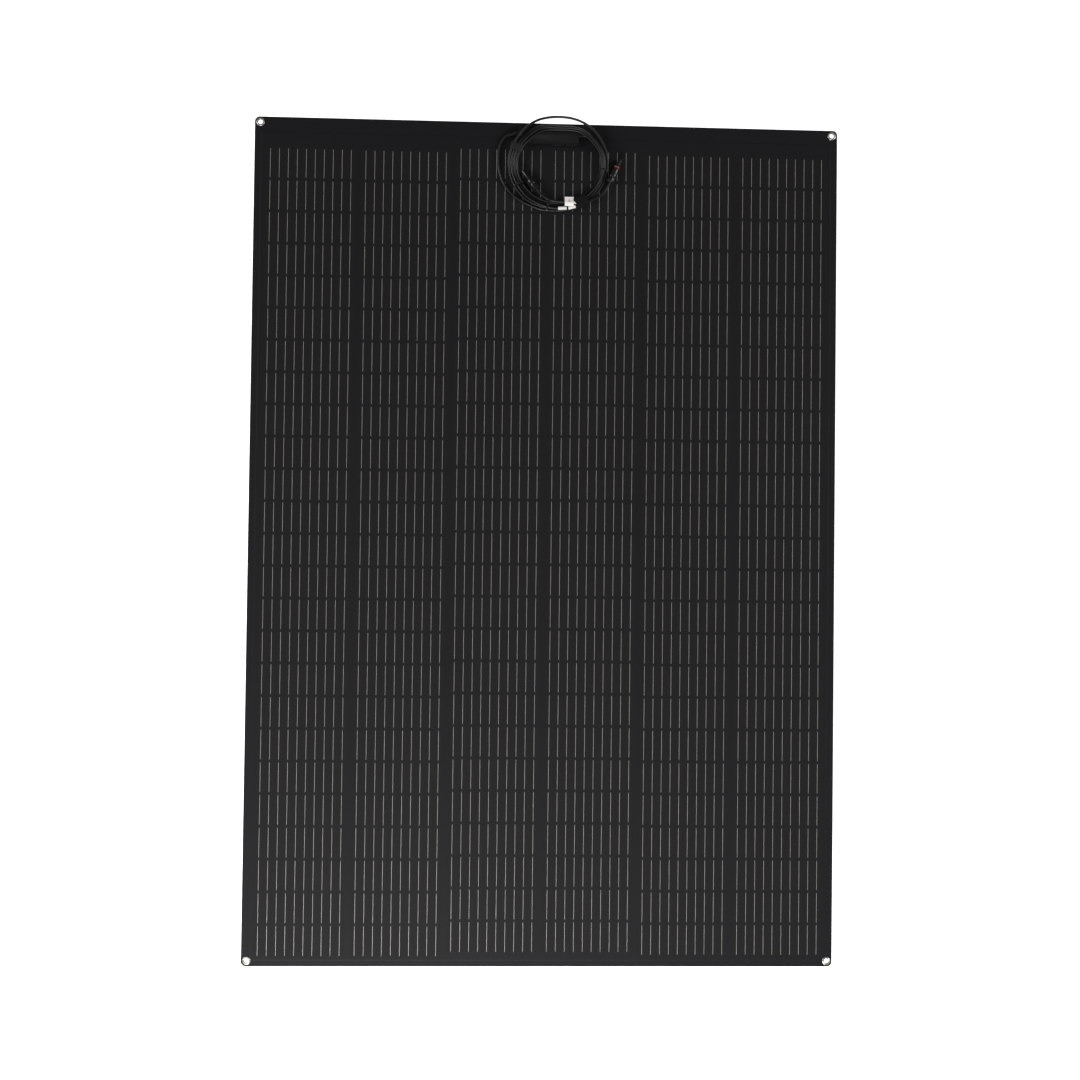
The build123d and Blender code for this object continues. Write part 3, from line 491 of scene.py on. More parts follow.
def apply_modifier(obj, kind, **settings):
    only(obj)
    modifier = obj.modifiers.new(kind.lower(), kind)
    for key, value in settings.items():
        setattr(modifier, key, value)
    bpy.ops.object.modifier_apply(modifier=modifier.name)
    return obj


def choose(obj, test, what="faces"):
    """In edit mode on return, with the faces, edges or vertices selected that pass the test."""
    only(obj)
    bpy.ops.object.mode_set(mode="EDIT")
    kinds = {"faces": "FACE", "edges": "EDGE", "verts": "VERT"}
    bpy.ops.mesh.select_mode(type=kinds[what])
    bpy.ops.mesh.select_all(action="DESELECT")
    bpy.ops.object.mode_set(mode="OBJECT")
    mesh = obj.data
    if what == "faces":
        for face in mesh.polygons:
            face.select = bool(test(face.center, face.normal))
    elif what == "edges":
        for edge in mesh.edges:
            a, b = (mesh.vertices[i].co for i in edge.vertices)
            edge.select = bool(test(a, b))
    else:
        for vertex in mesh.vertices:
            vertex.select = bool(test(vertex.co))
    bpy.ops.object.mode_set(mode="EDIT")


def bevel_edges(obj, offset, segments, test=lambda a, b: True):
    """Bevels the edges whose two ends pass the test, or all of them."""
    choose(obj, test, "edges")
    bpy.ops.mesh.bevel(offset=offset, segments=segments, affect="EDGES")
    bpy.ops.object.mode_set(mode="OBJECT")


def slice_along(obj, places, normal, clear_above=False, clear_below=False, fill=False):
    """Cuts the mesh by planes across an axis at these places; may drop one side."""
    only(obj)
    bpy.ops.object.mode_set(mode="EDIT")
    for place in places:
        bpy.ops.mesh.select_all(action="SELECT")
        bpy.ops.mesh.bisect(
            plane_co=Vector(normal) * place, plane_no=normal, use_fill=fill,
            clear_outer=clear_above, clear_inner=clear_below)
    bpy.ops.object.mode_set(mode="OBJECT")
    return obj


def copy_of(obj, name):
    copy = obj.copy()
    copy.data = obj.data.copy()
    copy.name = name
    copy.data.name = name
    bpy.context.collection.objects.link(copy)
    return copy


def add_object(name, data):
    obj = bpy.data.objects.new(name, data)
    bpy.context.collection.objects.link(obj)
    return obj


def join(objects, name):
    bpy.ops.object.select_all(action="DESELECT")
    for obj in objects:
        obj.select_set(True)
    bpy.context.view_layer.objects.active = objects[0]
    bpy.ops.object.join()
    return named(name)


def lay_uv(obj):
    """A UV map of the piece's own X and Y at rest, in metres, so that patterns never slide."""
    mesh = obj.data
    layer = mesh.uv_layers.get("rest") or mesh.uv_layers.new(name="rest")
    for loop in mesh.loops:
        co = mesh.vertices[loop.vertex_index].co
        layer.data[loop.index].uv = (co.x, co.y)
    return obj


def paint(obj, *materials):
    obj.data.materials.clear()
    for material in materials:
        obj.data.materials.append(material)
    return obj


def block(name, low, high):
    """A box between two corners, with its place in its mesh."""
    low, high = Vector(low), Vector(high)
    bpy.ops.mesh.primitive_cube_add(size=1.0, location=(low + high) / 2)
    obj = named(name)
    obj.dimensions = high - low
    bpy.context.view_layer.update()
    return settle(obj)


# ---------------------------------------------------------------- the sheet
def string_shifts():
    """How far each column of cells is laid up or down, read from the cells themselves."""
    mesh = frame["nodes"]["cells_1"].data
    sheet = bpy.context.scene.sheet_settings
    middle_row = CELLS[0][1].y
    shifts = []
    for column in range(sheet.columns):
        x = column_x(column)
        tops = [v.co.y for v in mesh.vertices if abs(v.co.x - x) < sheet.cell_width / 2 + MM]
        shifts.append(max(tops) - middle_row)
    return shifts


def column_x(column):
    sheet = bpy.context.scene.sheet_settings
    return (column - (sheet.columns - 1) / 2) * (sheet.cell_width + sheet.column_gap)


def bend_y(number):
    return BENDS[number - 1]["pos_m"][1]


def split_y(number):
    """The sheet is drawn in one piece for each bending line; two of them meet mid-panel."""
    if number == 0:
        return TOP_EDGE
    if number == len(BENDS):
        return BOTTOM_EDGE
    return (bend_y(number) + bend_y(number + 1)) / 2


SEAM = 0.006  # flat sheet on each side of a meeting of two pieces
STIFF_TOP = 0.240  # the coil and the box keep this much of the sheet flat
EYELET_HOLE = 0.0049  # radius of the holes in the drawn sheet


def bend_piece(piece, number):
    start = TOP_EDGE - STIFF_TOP if number == 1 else split_y(number - 1) - SEAM
    end = 2 * bend_y(number) - start if number in (1, len(BENDS)) else split_y(number) + SEAM
    end = max(end, split_y(number) + SEAM)
    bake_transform(piece)
    return piece


def cut_into_bends(whole, name, kinds, extra=()):
    """Cuts a full-length mesh into one piece for each bending line."""
    pieces = []
    for number in range(1, PANELS):
        piece = copy_of(whole, f"{name}_{number}")
        if number > 1:
            slice_along(piece, [split_y(number - 1)], (0, 1, 0), clear_above=True, fill=True)
        if number < PANELS - 1:
            slice_along(piece, [split_y(number)], (0, 1, 0), clear_below=True, fill=True)
        lay_uv(piece)
        for kind in kinds:
            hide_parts(f"{kind}_{number}", f"{kind}_{number + 1}")
        bend_piece(piece, number)
        pieces.append(piece)
    bpy.data.objects.remove(whole, do_unlink=True)
    for number, node in extra:
        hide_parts(node)
    return pieces


ROW_STEPS = 8  # slices along one row of cells


def bend_lines():
    """Y places of the slices across the sheet."""
    sheet = bpy.context.scene.sheet_settings
    step = (sheet.cell_height + sheet.row_gap) / ROW_STEPS
    count = int((TOP_EDGE - BOTTOM_EDGE) / step)
    return [TOP_EDGE - step * (n + 0.5) for n in range(count)]


class SOLAR_OT_laminate(bpy.types.Operator):
    """Makes the laminate: a thin slab with a lower rim, round corners and eyelet holes"""

    bl_idname = "solar.laminate"
    bl_label = "Laminate"

    def execute(self, context):
        sheet = context.scene.sheet_settings
        colours = context.scene.finish_settings
        rim_z = FACE_Z - sheet.rim_drop
        slab = block("laminate", (-SHEET_HALF_WIDTH, BOTTOM_EDGE, BACK_Z),
                     (SHEET_HALF_WIDTH, TOP_EDGE, rim_z))
        bevel_edges(slab, sheet.corner, 8, lambda a, b: abs(a.z - b.z) > MM)
        # the rim's own edge is rolled over
        bevel_edges(slab, 0.0006, 3, lambda a, b: abs(a.z - b.z) < SAME)
        slope = 0.0012  # width of the step from the rim up to the field
        side = SHEET_HALF_WIDTH - sheet.rim_side
        top, bottom = TOP_EDGE - sheet.rim_top, BOTTOM_EDGE + sheet.rim_bottom
        slice_along(slab, [-side, -side + slope, side - slope, side], (1, 0, 0))
        slice_along(slab, [top, top - slope, bottom, bottom + slope], (0, 1, 0))
        lifted = (side - slope + 1e-5, bottom + slope - 1e-5, top - slope + 1e-5)
        choose(slab, lambda co: (
            abs(co.x) < lifted[0] and lifted[1] < co.y < lifted[2] and co.z > rim_z - 1e-5), "verts")
        bpy.ops.transform.translate(value=(0, 0, sheet.rim_drop))
        bpy.ops.object.mode_set(mode="OBJECT")
        slice_along(slab, bend_lines(), (0, 1, 0))
        self.make_eyelet_holes(slab)
        paint(slab, film_border(colours), film_back())
        for face in slab.data.polygons:
            face.material_index = 1 if face.normal.z < -0.5 else 0
        cut_into_bends(
            slab, "laminate", ("front_film", "back_film", "base_board", "encapsulant"),
            extra=[(1, "top_bus_bars"), (len(BENDS), "bottom_bus_bars")])
        return {"FINISHED"}

    def make_eyelet_holes(self, slab):
        """Round holes through the slab where the eyelets' barrels pass."""
        for node in ("eyelets_top", "eyelets_bottom"):
            low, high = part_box(node)
            radius = (high.y - low.y) / 2
            for x in (low.x + radius, high.x - radius):
                bpy.ops.mesh.primitive_cylinder_add(
                    vertices=48, radius=EYELET_HOLE, depth=0.02,
                    location=(x, (low.y + high.y) / 2, FACE_Z))
                cutter = named("cutter")
                apply_modifier(
                    slab, "BOOLEAN", object=cutter, operation="DIFFERENCE", solver="EXACT")
                bpy.data.objects.remove(cutter, do_unlink=True)


def repeat(unit, count, step):
    apply_modifier(unit, "ARRAY", count=count, use_relative_offset=False,
                   use_constant_offset=True, constant_offset_displace=step)


def repeat_over_grid(unit, name, ribbons=1, ribbon_pitch=0.0):
    """Copies a unit, made for the top row at the middle of the sheet, over the whole grid."""
    sheet = bpy.context.scene.sheet_settings
    if ribbons > 1:
        repeat(unit, ribbons, (ribbon_pitch, 0, 0))
    repeat(unit, sheet.rows, (0, -(sheet.cell_height + sheet.row_gap), 0))
    columns = []
    for column, shift in enumerate(string_shifts()):
        one = copy_of(unit, f"{name}_column_{column}")
        one.location = (column_x(column), shift, 0)
        settle(one)
        columns.append(one)
    bpy.data.objects.remove(unit, do_unlink=True)
    return join(columns, name)


CELL_RISE = 0.00006  # a cell's top over the film's face
RIBBON_RISE = 0.00009


class SOLAR_OT_cells(bpy.types.Operator):
    """Makes the cells, each a hair above the sheet around it"""

    bl_idname = "solar.cells"
    bl_label = "Cells"

    def execute(self, context):
        sheet = context.scene.sheet_settings
        top = CELLS[0][1].y
        half = sheet.cell_width / 2
        cell = block("cell", (-half, top - sheet.cell_height, FACE_Z - 0.0003),
                     (half, top, FACE_Z + CELL_RISE))
        steps = [top - sheet.cell_height * n / ROW_STEPS for n in range(1, ROW_STEPS)]
        slice_along(cell, steps, (0, 1, 0))
        whole = repeat_over_grid(cell, "cell_rows")
        paint(whole, film_over_cells(context.scene.finish_settings))
        cut_into_bends(whole, "cell_rows", ("cells", "row_masks"))
        return {"FINISHED"}


class SOLAR_OT_ribbons(bpy.types.Operator):
    """Makes the ribbons, ten to a cell, each a slim raised line that stops at the row gaps"""

    bl_idname = "solar.ribbons"
    bl_label = "Ribbons"

    def execute(self, context):
        sheet = context.scene.sheet_settings
        top = CELLS[0][1].y - sheet.ribbon_short
        length = sheet.cell_height - 2 * sheet.ribbon_short
        pitch = sheet.cell_width / sheet.ribbons
        x = -pitch * (sheet.ribbons - 1) / 2
        half = sheet.ribbon_width / 2
        ribbon = block("ribbon", (x - half, top - length, FACE_Z - 0.0001),
                       (x + half, top, FACE_Z + RIBBON_RISE))
        bevel_edges(ribbon, 0.00012, 1,
                    lambda a, b: min(a.z, b.z) > FACE_Z and abs(a.x - b.x) < SAME)
        slice_along(ribbon, [top - length * n / ROW_STEPS for n in range(1, ROW_STEPS)], (0, 1, 0))
        whole = repeat_over_grid(ribbon, "ribbon_lines", sheet.ribbons, pitch)
        paint(whole, tinned_ribbon(context.scene.finish_settings))
        cut_into_bends(whole, "ribbon_lines", ("ribbons",))
        return {"FINISHED"}


# ---------------------------------------------------------------- the leads
def coil_middle():
    leads = bpy.context.scene.lead_settings
    return Vector((leads.middle_x, TOP_EDGE - leads.middle_down))


CLIMB_START = 0.063  # how far before the box a lead leaves the sheet
CLIMB = 0.056  # and how far it goes before it is up on the lid


def rest_height(y):
    """Middle of a lead that lies on the sheet, or further up on the junction box's lid."""
    leads = bpy.context.scene.lead_settings
    share = min(1.0, max(0.0, (y - (BASE_LOW.y - CLIMB_START)) / CLIMB))
    share = share * share * (3 - 2 * share)
    return leads.low_z + share * (leads.high_z - leads.low_z)


def turn_points(stations):
    """Control points of a coil's turns. Each station is an angle round the coil in degrees, the
    distance from its middle and the lift over what the lead lies on, both in millimetres."""
    leads = bpy.context.scene.lead_settings
    middle = coil_middle()
    step = 360 / leads.points_per_turn
    outward = 1 / math.cos(math.pi / leads.points_per_turn)  # the curve runs inside its points
    points = []
    for (a0, r0, l0), (a1, r1, l1) in zip(stations, stations[1:]):
        count = max(1, round(abs(a1 - a0) / step))
        for n in range(count):
            share = n / count
            angle = math.radians(a0 + (a1 - a0) * share)
            eased = share * share * (3 - 2 * share)
            radius = (r0 + (r1 - r0) * eased) * MM * outward
            x = middle.x + radius * math.cos(angle)
            y = middle.y + radius * math.sin(angle)
            points.append((x, y, rest_height(y) + (l0 + (l1 - l0) * eased) * MM))
    return points


def by_hand(points):
    return [tuple(value * MM for value in point) for point in points]


# the left lead: down the sheet, in at the bottom of the coil, two turns, out to the plug
LEFT_TAIL = [
    (-62, 835, 8.45), (-84, 835, 8.45), (-100, 817, 7.75), (-104, 785, 6.45),
    (-100, 751, 5.95), (-85, 721, 5.95), (-59, 699, 5.95), (-34, 688, 6.0),
]
LEFT_TURNS = [
    (250, 103.5, 0), (270, 97.8, 0), (315, 97.6, 0), (360, 97.4, 0), (405, 93.5, 1), (450, 90, 2),
    (495, 97.5, 1.5), (540, 105.5, 0), (585, 103.5, 0), (607.5, 97, 0), (630, 92.6, 0),
    (675, 92.3, 0), (720, 92, 0), (765, 80.5, 0), (810, 70, 0), (855, 85.5, 0), (900, 100, 0),
    (945, 98.5, 4.6), (967.5, 95.2, 4.6), (990, 94.5, 4.6), (1010, 96.5, 5.2), (1022, 100, 5.2),
]
PLUG_END = [(97, 704, 10.6), (110, 713, 11.2), (117.01, 719.89, 11.45), (125.5, 738, 11.45)]
# the right lead: out of the box, under the coil, two turns and a quarter, in to the socket
RIGHT_TAIL = [
    (62, 835, 8.45), (81, 835, 8.45), (98, 826, 8.3), (107.5, 804, 7.8), (108.5, 778, 7.0),
    (105, 755, 6.2),
]
RIGHT_TURNS = [
    (-32, 83.2, 0), (-60, 82, 0), (-90, 82, 0), (-112.5, 84.3, 0), (-135, 87, 0), (-180, 89, 0),
    (-225, 74.5, 0), (-270, 64.3, 0), (-315, 75, 0), (-360, 86.8, 0), (-405, 87.1, 0),
    (-450, 87.1, 0), (-472.5, 89.5, 0), (-495, 92.3, 0), (-540, 94.5, 0), (-585, 80, 3.6),
    (-630, 67, 4.6), (-675, 78.5, 4.6), (-720, 89.4, 4.6), (-765, 88, 4.6), (-790, 86.5, 4.6),
    (-810, 84.5, 4.8),
]
SOCKET_END = [(5.4, 697.6, 11.2), (-13.04, 708.6, 11.45), (-23.5, 722, 11.45)]


def lead_points(tail, turns, end):
    return by_hand(tail) + turn_points(turns) + by_hand(end)


def make_lead(name, points, material):
    """A round cable along one open, smooth curve."""
    leads = bpy.context.scene.lead_settings
    data = bpy.data.curves.new(name, "CURVE")
    data.dimensions = "3D"
    data.bevel_depth = leads.diameter / 2
    data.bevel_resolution = 6
    data.resolution_u = 6
    data.use_fill_caps = True
    spline = data.splines.new("NURBS")
    spline.points.add(len(points) - 1)
    for point, co in zip(spline.points, points):
        point.co = (*co, 1.0)
    spline.order_u = 3
    spline.use_endpoint_u = True
    lead = add_object(name, data)
    data.materials.append(material)
    return lead


def line_of(points):
    """Points along the smooth curve of a lead, and its length."""
    plain = make_lead("line", points, None)
    plain.data.bevel_depth = 0
    plain.data.use_fill_caps = False
    bpy.context.view_layer.update()
    graph = bpy.context.evaluated_depsgraph_get()
    mesh = bpy.data.meshes.new_from_object(plain.evaluated_get(graph))
    line = [v.co.copy() for v in mesh.vertices]
    bpy.data.meshes.remove(mesh)
    bpy.data.objects.remove(plain, do_unlink=True)
    return line, sum((b - a).length for a, b in zip(line, line[1:]))


class SOLAR_OT_leads(bpy.types.Operator):
    """Makes the two leads, each one smooth cable from the box through the coil to its connector"""

    bl_idname = "solar.leads"
    bl_label = "Leads"

    def execute(self, context):
        colours = context.scene.finish_settings
        jobs = (
            ("left_lead", LEFT_TAIL, LEFT_TURNS, PLUG_END,
             ("left_lead_tail", "plug_lead_end", "lead_coil"),
             ("plug_cap_nut", "plug_shell", "plug_seal_ring", "plug_contact", "coil_ties",
              "black_coil_wrap", "grey_coil_wrap", "lead_label", "second_label", "flag_label",
              "flag_dot", "left_boot")),
            ("right_lead", RIGHT_TAIL, RIGHT_TURNS, SOCKET_END,
             ("right_lead_tail", "socket_lead_end", "lead_coil"),
             ("socket_cap_nut", "socket_shell", "socket_contact", "right_boot")),
        )
        for name, tail, turns, end, nodes, pieces in jobs:
            points = lead_points(tail, turns, end)
            length = line_of(points)[1]
            lead = make_lead(name, points, cable_jacket(colours))
            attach(lead, "panel_1")
            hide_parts(*nodes)
            print(name, "length", round(length, 3))
        return {"FINISHED"}


# ---------------------------------------------------------------- bands and labels on the coil
COIL_INSIDE, COIL_OUTSIDE = 0.05, 0.112  # every strand of the coil lies between these radii


def strands_at(angle, above=0.0):
    """Distance from the coil's middle and height of each lead that crosses this angle and is
    higher than a given height."""
    middle = coil_middle()
    away = Vector((math.cos(math.radians(angle)), math.sin(math.radians(angle))))
    found = []
    for tail, turns, end in (
            (LEFT_TAIL, LEFT_TURNS, PLUG_END), (RIGHT_TAIL, RIGHT_TURNS, SOCKET_END)):
        line = line_of(lead_points(tail, turns, end))[0]
        for a, b in zip(line, line[1:]):
            sides = [away.cross(Vector((p.x, p.y)) - middle) for p in (a, b)]
            ahead = away.dot(Vector((a.x, a.y)) - middle)
            crosses = sides[0] * sides[1] <= 0 and sides[0] != sides[1]
            if crosses and COIL_INSIDE < ahead < COIL_OUTSIDE:
                share = sides[0] / (sides[0] - sides[1])
                point = a.lerp(b, share)
                if point.z > above:
                    found.append((away.dot(Vector((point.x, point.y)) - middle), point.z))
    return found


def hoop(name, angle, length, thickness, material, roll=0.0, slack=0.0003, above=0.0):
    """A closed band round all the leads that pass an angle of the coil."""
    strands = strands_at(angle, above)
    if above:
        strands = [max(strands)]  # a sleeve on the outermost of the upper strands
    radius = bpy.context.scene.lead_settings.diameter / 2
    near = min(r for r, z in strands) - radius - slack
    far = max(r for r, z in strands) + radius + slack
    low = min(z for r, z in strands) - radius - slack
    high = max(z for r, z in strands) + radius + slack
    low = max(low, FACE_Z + thickness + 0.0001)
    middle = coil_middle()
    turn = math.radians(angle)
    reach = (near + far) / 2
    bpy.ops.mesh.primitive_cylinder_add(
        vertices=56, radius=1.0, depth=length, end_fill_type="NOTHING", location=(0, 0, 0))
    band = named(name)
    # from a round section to the bundle's, which has flat sides and round corners
    half_wide, half_high = (far - near) / 2, (high - low) / 2
    power = 0.62  # 1 is an ellipse, and less is squarer
    for vertex in band.data.vertices:
        c, s = vertex.co.x, vertex.co.y
        vertex.co.x = math.copysign(abs(c) ** power, c) * half_wide
        vertex.co.y = math.copysign(abs(s) ** power, s) * half_high
    band.rotation_euler = (math.pi / 2, 0, turn)
    band.location = (middle.x + reach * math.cos(turn), middle.y + reach * math.sin(turn),
                     (low + high) / 2)
    settle(band)
    choose(band, lambda a, b: True, "edges")
    bpy.ops.mesh.select_all(action="SELECT")
    bpy.ops.mesh.normals_make_consistent(inside=False)
    bpy.ops.mesh.subdivide(number_cuts=2 if length > 0.008 else 1)
    bpy.ops.object.mode_set(mode="OBJECT")
    if roll:
        rumple(band, roll)
    apply_modifier(band, "SOLIDIFY", thickness=thickness, offset=1.0)
    apply_modifier(band, "BEVEL", width=min(0.0003, thickness * 0.3), segments=2)
    smooth(band)
    paint(band, material)
    return band


def rumple(obj, depth):
    """Small folds of a hand-wound tape."""
    for vertex in obj.data.vertices:
        x, y, z = vertex.co
        wave = math.sin(x * 900 + z * 400) * math.sin(y * 1100 - z * 700)
        vertex.co.z += wave * depth
        vertex.co.x += math.sin(y * 1300) * depth * 0.6


def smooth(obj, angle=35):
    only(obj)
    bpy.ops.object.shade_smooth_by_angle(angle=math.radians(angle))
    return obj


TIE_ANGLES = (-105.0, -9.0, -152.0)


class SOLAR_OT_bands(bpy.types.Operator):
    """Makes the ties, the two wraps and the labels that sit on the coil"""

    bl_idname = "solar.bands"
    bl_label = "Ties, wraps and labels"

    def execute(self, context):
        colours = context.scene.finish_settings
        self.make_ties()
        for name, angle, length, thickness, material, roll in (
            ("grey_coil_wrap", 163.0, 0.015, 0.0007, grey_tape(), 0.00018),
            ("black_coil_wrap", -60.5, 0.026, 0.0012, black_tape(), 0.00025),
        ):
            wrap = hoop(name, angle, length, thickness, material, roll)
            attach(wrap, "panel_1")
            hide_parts("coil_wraps")
        for name, angle, length in (("lead_label", -86.6, 0.0175), ("second_label", -74.8, 0.015)):
            label = hoop(name, angle, length, 0.0004, label_paper(colours), above=0.009)
            lay_uv(label)
            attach(label, "panel_1")
            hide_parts("lead_labels")
        self.make_flag(colours)
        return {"FINISHED"}

    def make_ties(self):
        ties = []
        for number, angle in enumerate(TIE_ANGLES, 1):
            tie = hoop(f"tie_{number}", angle, 0.0036, 0.0011, nylon_tie(), slack=0.0002)
            top = max(v.co.z for v in tie.data.vertices)
            middle = sum((v.co for v in tie.data.vertices), Vector()) / len(tie.data.vertices)
            half = 0.0025
            head = block(
                f"tie_head_{number}", (-half, -half, top - 0.0006), (half, half, top + 0.003))
            bevel_edges(head, 0.0005, 2)
            tail = block(f"tie_tail_{number}", (-0.0018, half, top + 0.0008),
                         (0.0018, half + 0.006, top + 0.0018))
            bevel_edges(tail, 0.0002, 1)
            both = join([head, tail], f"tie_lock_{number}")
            both.rotation_euler = (0, 0, math.radians(angle + 90 + (14 if number == 1 else -8)))
            both.location = (middle.x, middle.y, 0)
            ties += [tie, settle(both)]
        group = join(ties, "coil_ties")
        paint(group, nylon_tie())
        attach(group, "panel_1")
        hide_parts("cable_ties")

    def make_flag(self, colours):
        """The flag: folded paper that stands off the leads, with a narrow flap and a plain dot."""
        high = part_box("lead_labels")[1]
        x, y = high.x - 0.0190, high.y - 0.0270
        wide, tall = 0.0185, 0.0195
        leaves = []
        for name, left, low, width, length, lift in (
            ("flag_leaf", x, y, wide, tall, 0.0),
            ("flag_flap", x + 0.0190, y + 0.0045, 0.0045, 0.0115, -0.0006),
        ):
            bpy.ops.mesh.primitive_grid_add(
                x_subdivisions=14, y_subdivisions=14, size=1.0,
                location=(left + width / 2, low + length / 2, 0))
            leaf = named(name)
            leaf.dimensions = (width, length, 0)
            bpy.context.view_layer.update()
            settle(leaf)
            for vertex in leaf.data.vertices:
                vertex.co.z = self.flag_height(
                    (vertex.co.x - x) / wide, (vertex.co.y - y) / tall) + lift
            apply_modifier(leaf, "SOLIDIFY", thickness=0.0004, offset=1.0)
            leaves.append(leaf)
        flag = join(leaves, "flag_label")
        lay_uv(smooth(flag))
        paint(flag, label_paper(colours, marks=False))
        centre = Vector((x + 0.0095, y + 0.0121, self.flag_height(0.51, 0.62) + 0.00055))
        bpy.ops.mesh.primitive_cylinder_add(
            vertices=24, radius=0.0016, depth=0.0003, location=centre)
        dot = settle(named("flag_dot"))
        apply_modifier(dot, "BEVEL", width=0.00008, segments=1)
        paint(dot, finish("dot_ink", (0.62, 0.10, 0.07), 0.5))
        for piece in (flag, dot):
            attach(piece, "panel_1")
            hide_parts("lead_labels")

    def flag_height(self, u, v):
        """Height of the flag: it rises from the coil's middle, over the leads, and curls a little."""
        over_leads = 1 - min(1.0, max(0.0, (v - 0.42) / 0.5))
        curl = 0.0022 * (u - 0.5) ** 2 + 0.0004 * math.sin(9 * v)
        return FACE_Z + 0.0058 + 0.0048 * over_leads + curl


# ---------------------------------------------------------------- connectors
def axis_of(joint_name):
    joint = next(j for j in frame["joints"] if j["name"] == joint_name)
    return Vector(joint["pos_m"]), Vector(joint["axis"]).normalized()


def turned(name, stations, sides=40, closed=True):
    """A turned body: a circle extruded along its axis and scaled at each station. A station is a
    distance along the axis and a radius, both in millimetres. The circle is filled unless closed
    is False, which is for a profile that comes back to its start."""
    start, radius = stations[0]
    bpy.ops.mesh.primitive_circle_add(
        vertices=sides, radius=radius * MM, fill_type="NGON" if closed else "NOTHING",
        location=(0, 0, start * MM))
    obj = named(name)
    settle(obj)
    bpy.ops.object.mode_set(mode="EDIT")
    bpy.ops.mesh.select_mode(type="EDGE")
    bpy.ops.mesh.select_all(action="SELECT")
    place, size = start, radius
    for distance, radius in stations[1:]:
        bpy.ops.mesh.extrude_region_move(
            TRANSFORM_OT_translate={"value": (0, 0, (distance - place) * MM)})
        share = radius / size
        bpy.ops.transform.resize(value=(share, share, 1), center_override=(0, 0, distance * MM))
        place, size = distance, radius
    bpy.ops.mesh.select_all(action="SELECT")
    bpy.ops.mesh.remove_doubles(threshold=1e-6)
    bpy.ops.mesh.normals_make_consistent(inside=False)
    bpy.ops.object.mode_set(mode="OBJECT")
    return obj


def stand_on_axis(obj, place, heading):
    """Turns a body built along Z onto an axis that lies in the sheet's plane."""
    obj.rotation_euler = (math.pi / 2, 0, math.atan2(heading.y, heading.x) + math.pi / 2)
    obj.location = place
    return settle(obj)


def ribbed_nut(name):
    """A cap nut with grip ribs round it. Its circle is filled though its profile comes back to its
    start, so a stray disc is left across the rear of the bore."""
    nut = turned(name, [
        (0.0, 4.4), (0.25, 4.9), (1.6, 6.2), (2.2, 6.7), (11.4, 6.9), (12.0, 6.5), (12.0, 5.9),
        (4.4, 5.9), (4.0, 2.8), (0.0, 2.8), (0.0, 4.4)], sides=60)
    # three faces of every five stand out as a rib
    rib_pitch, rib_width = 30, 18  # in degrees round the nut
    inside_wall = 0.0064
    rib_start, rib_end = 0.0022, 0.0116

    def on_rib(co, normal):
        turn = math.degrees(math.atan2(co.y, co.x)) % rib_pitch
        outside = math.hypot(co.x, co.y) > inside_wall
        return outside and turn < rib_width and rib_start < co.z < rib_end

    choose(nut, on_rib)
    bpy.ops.mesh.extrude_region_shrink_fatten(TRANSFORM_OT_shrink_fatten={"value": 0.0009})
    bpy.ops.object.mode_set(mode="OBJECT")
    apply_modifier(nut, "BEVEL", width=0.00018, segments=2, limit_method="ANGLE")
    return smooth(nut)


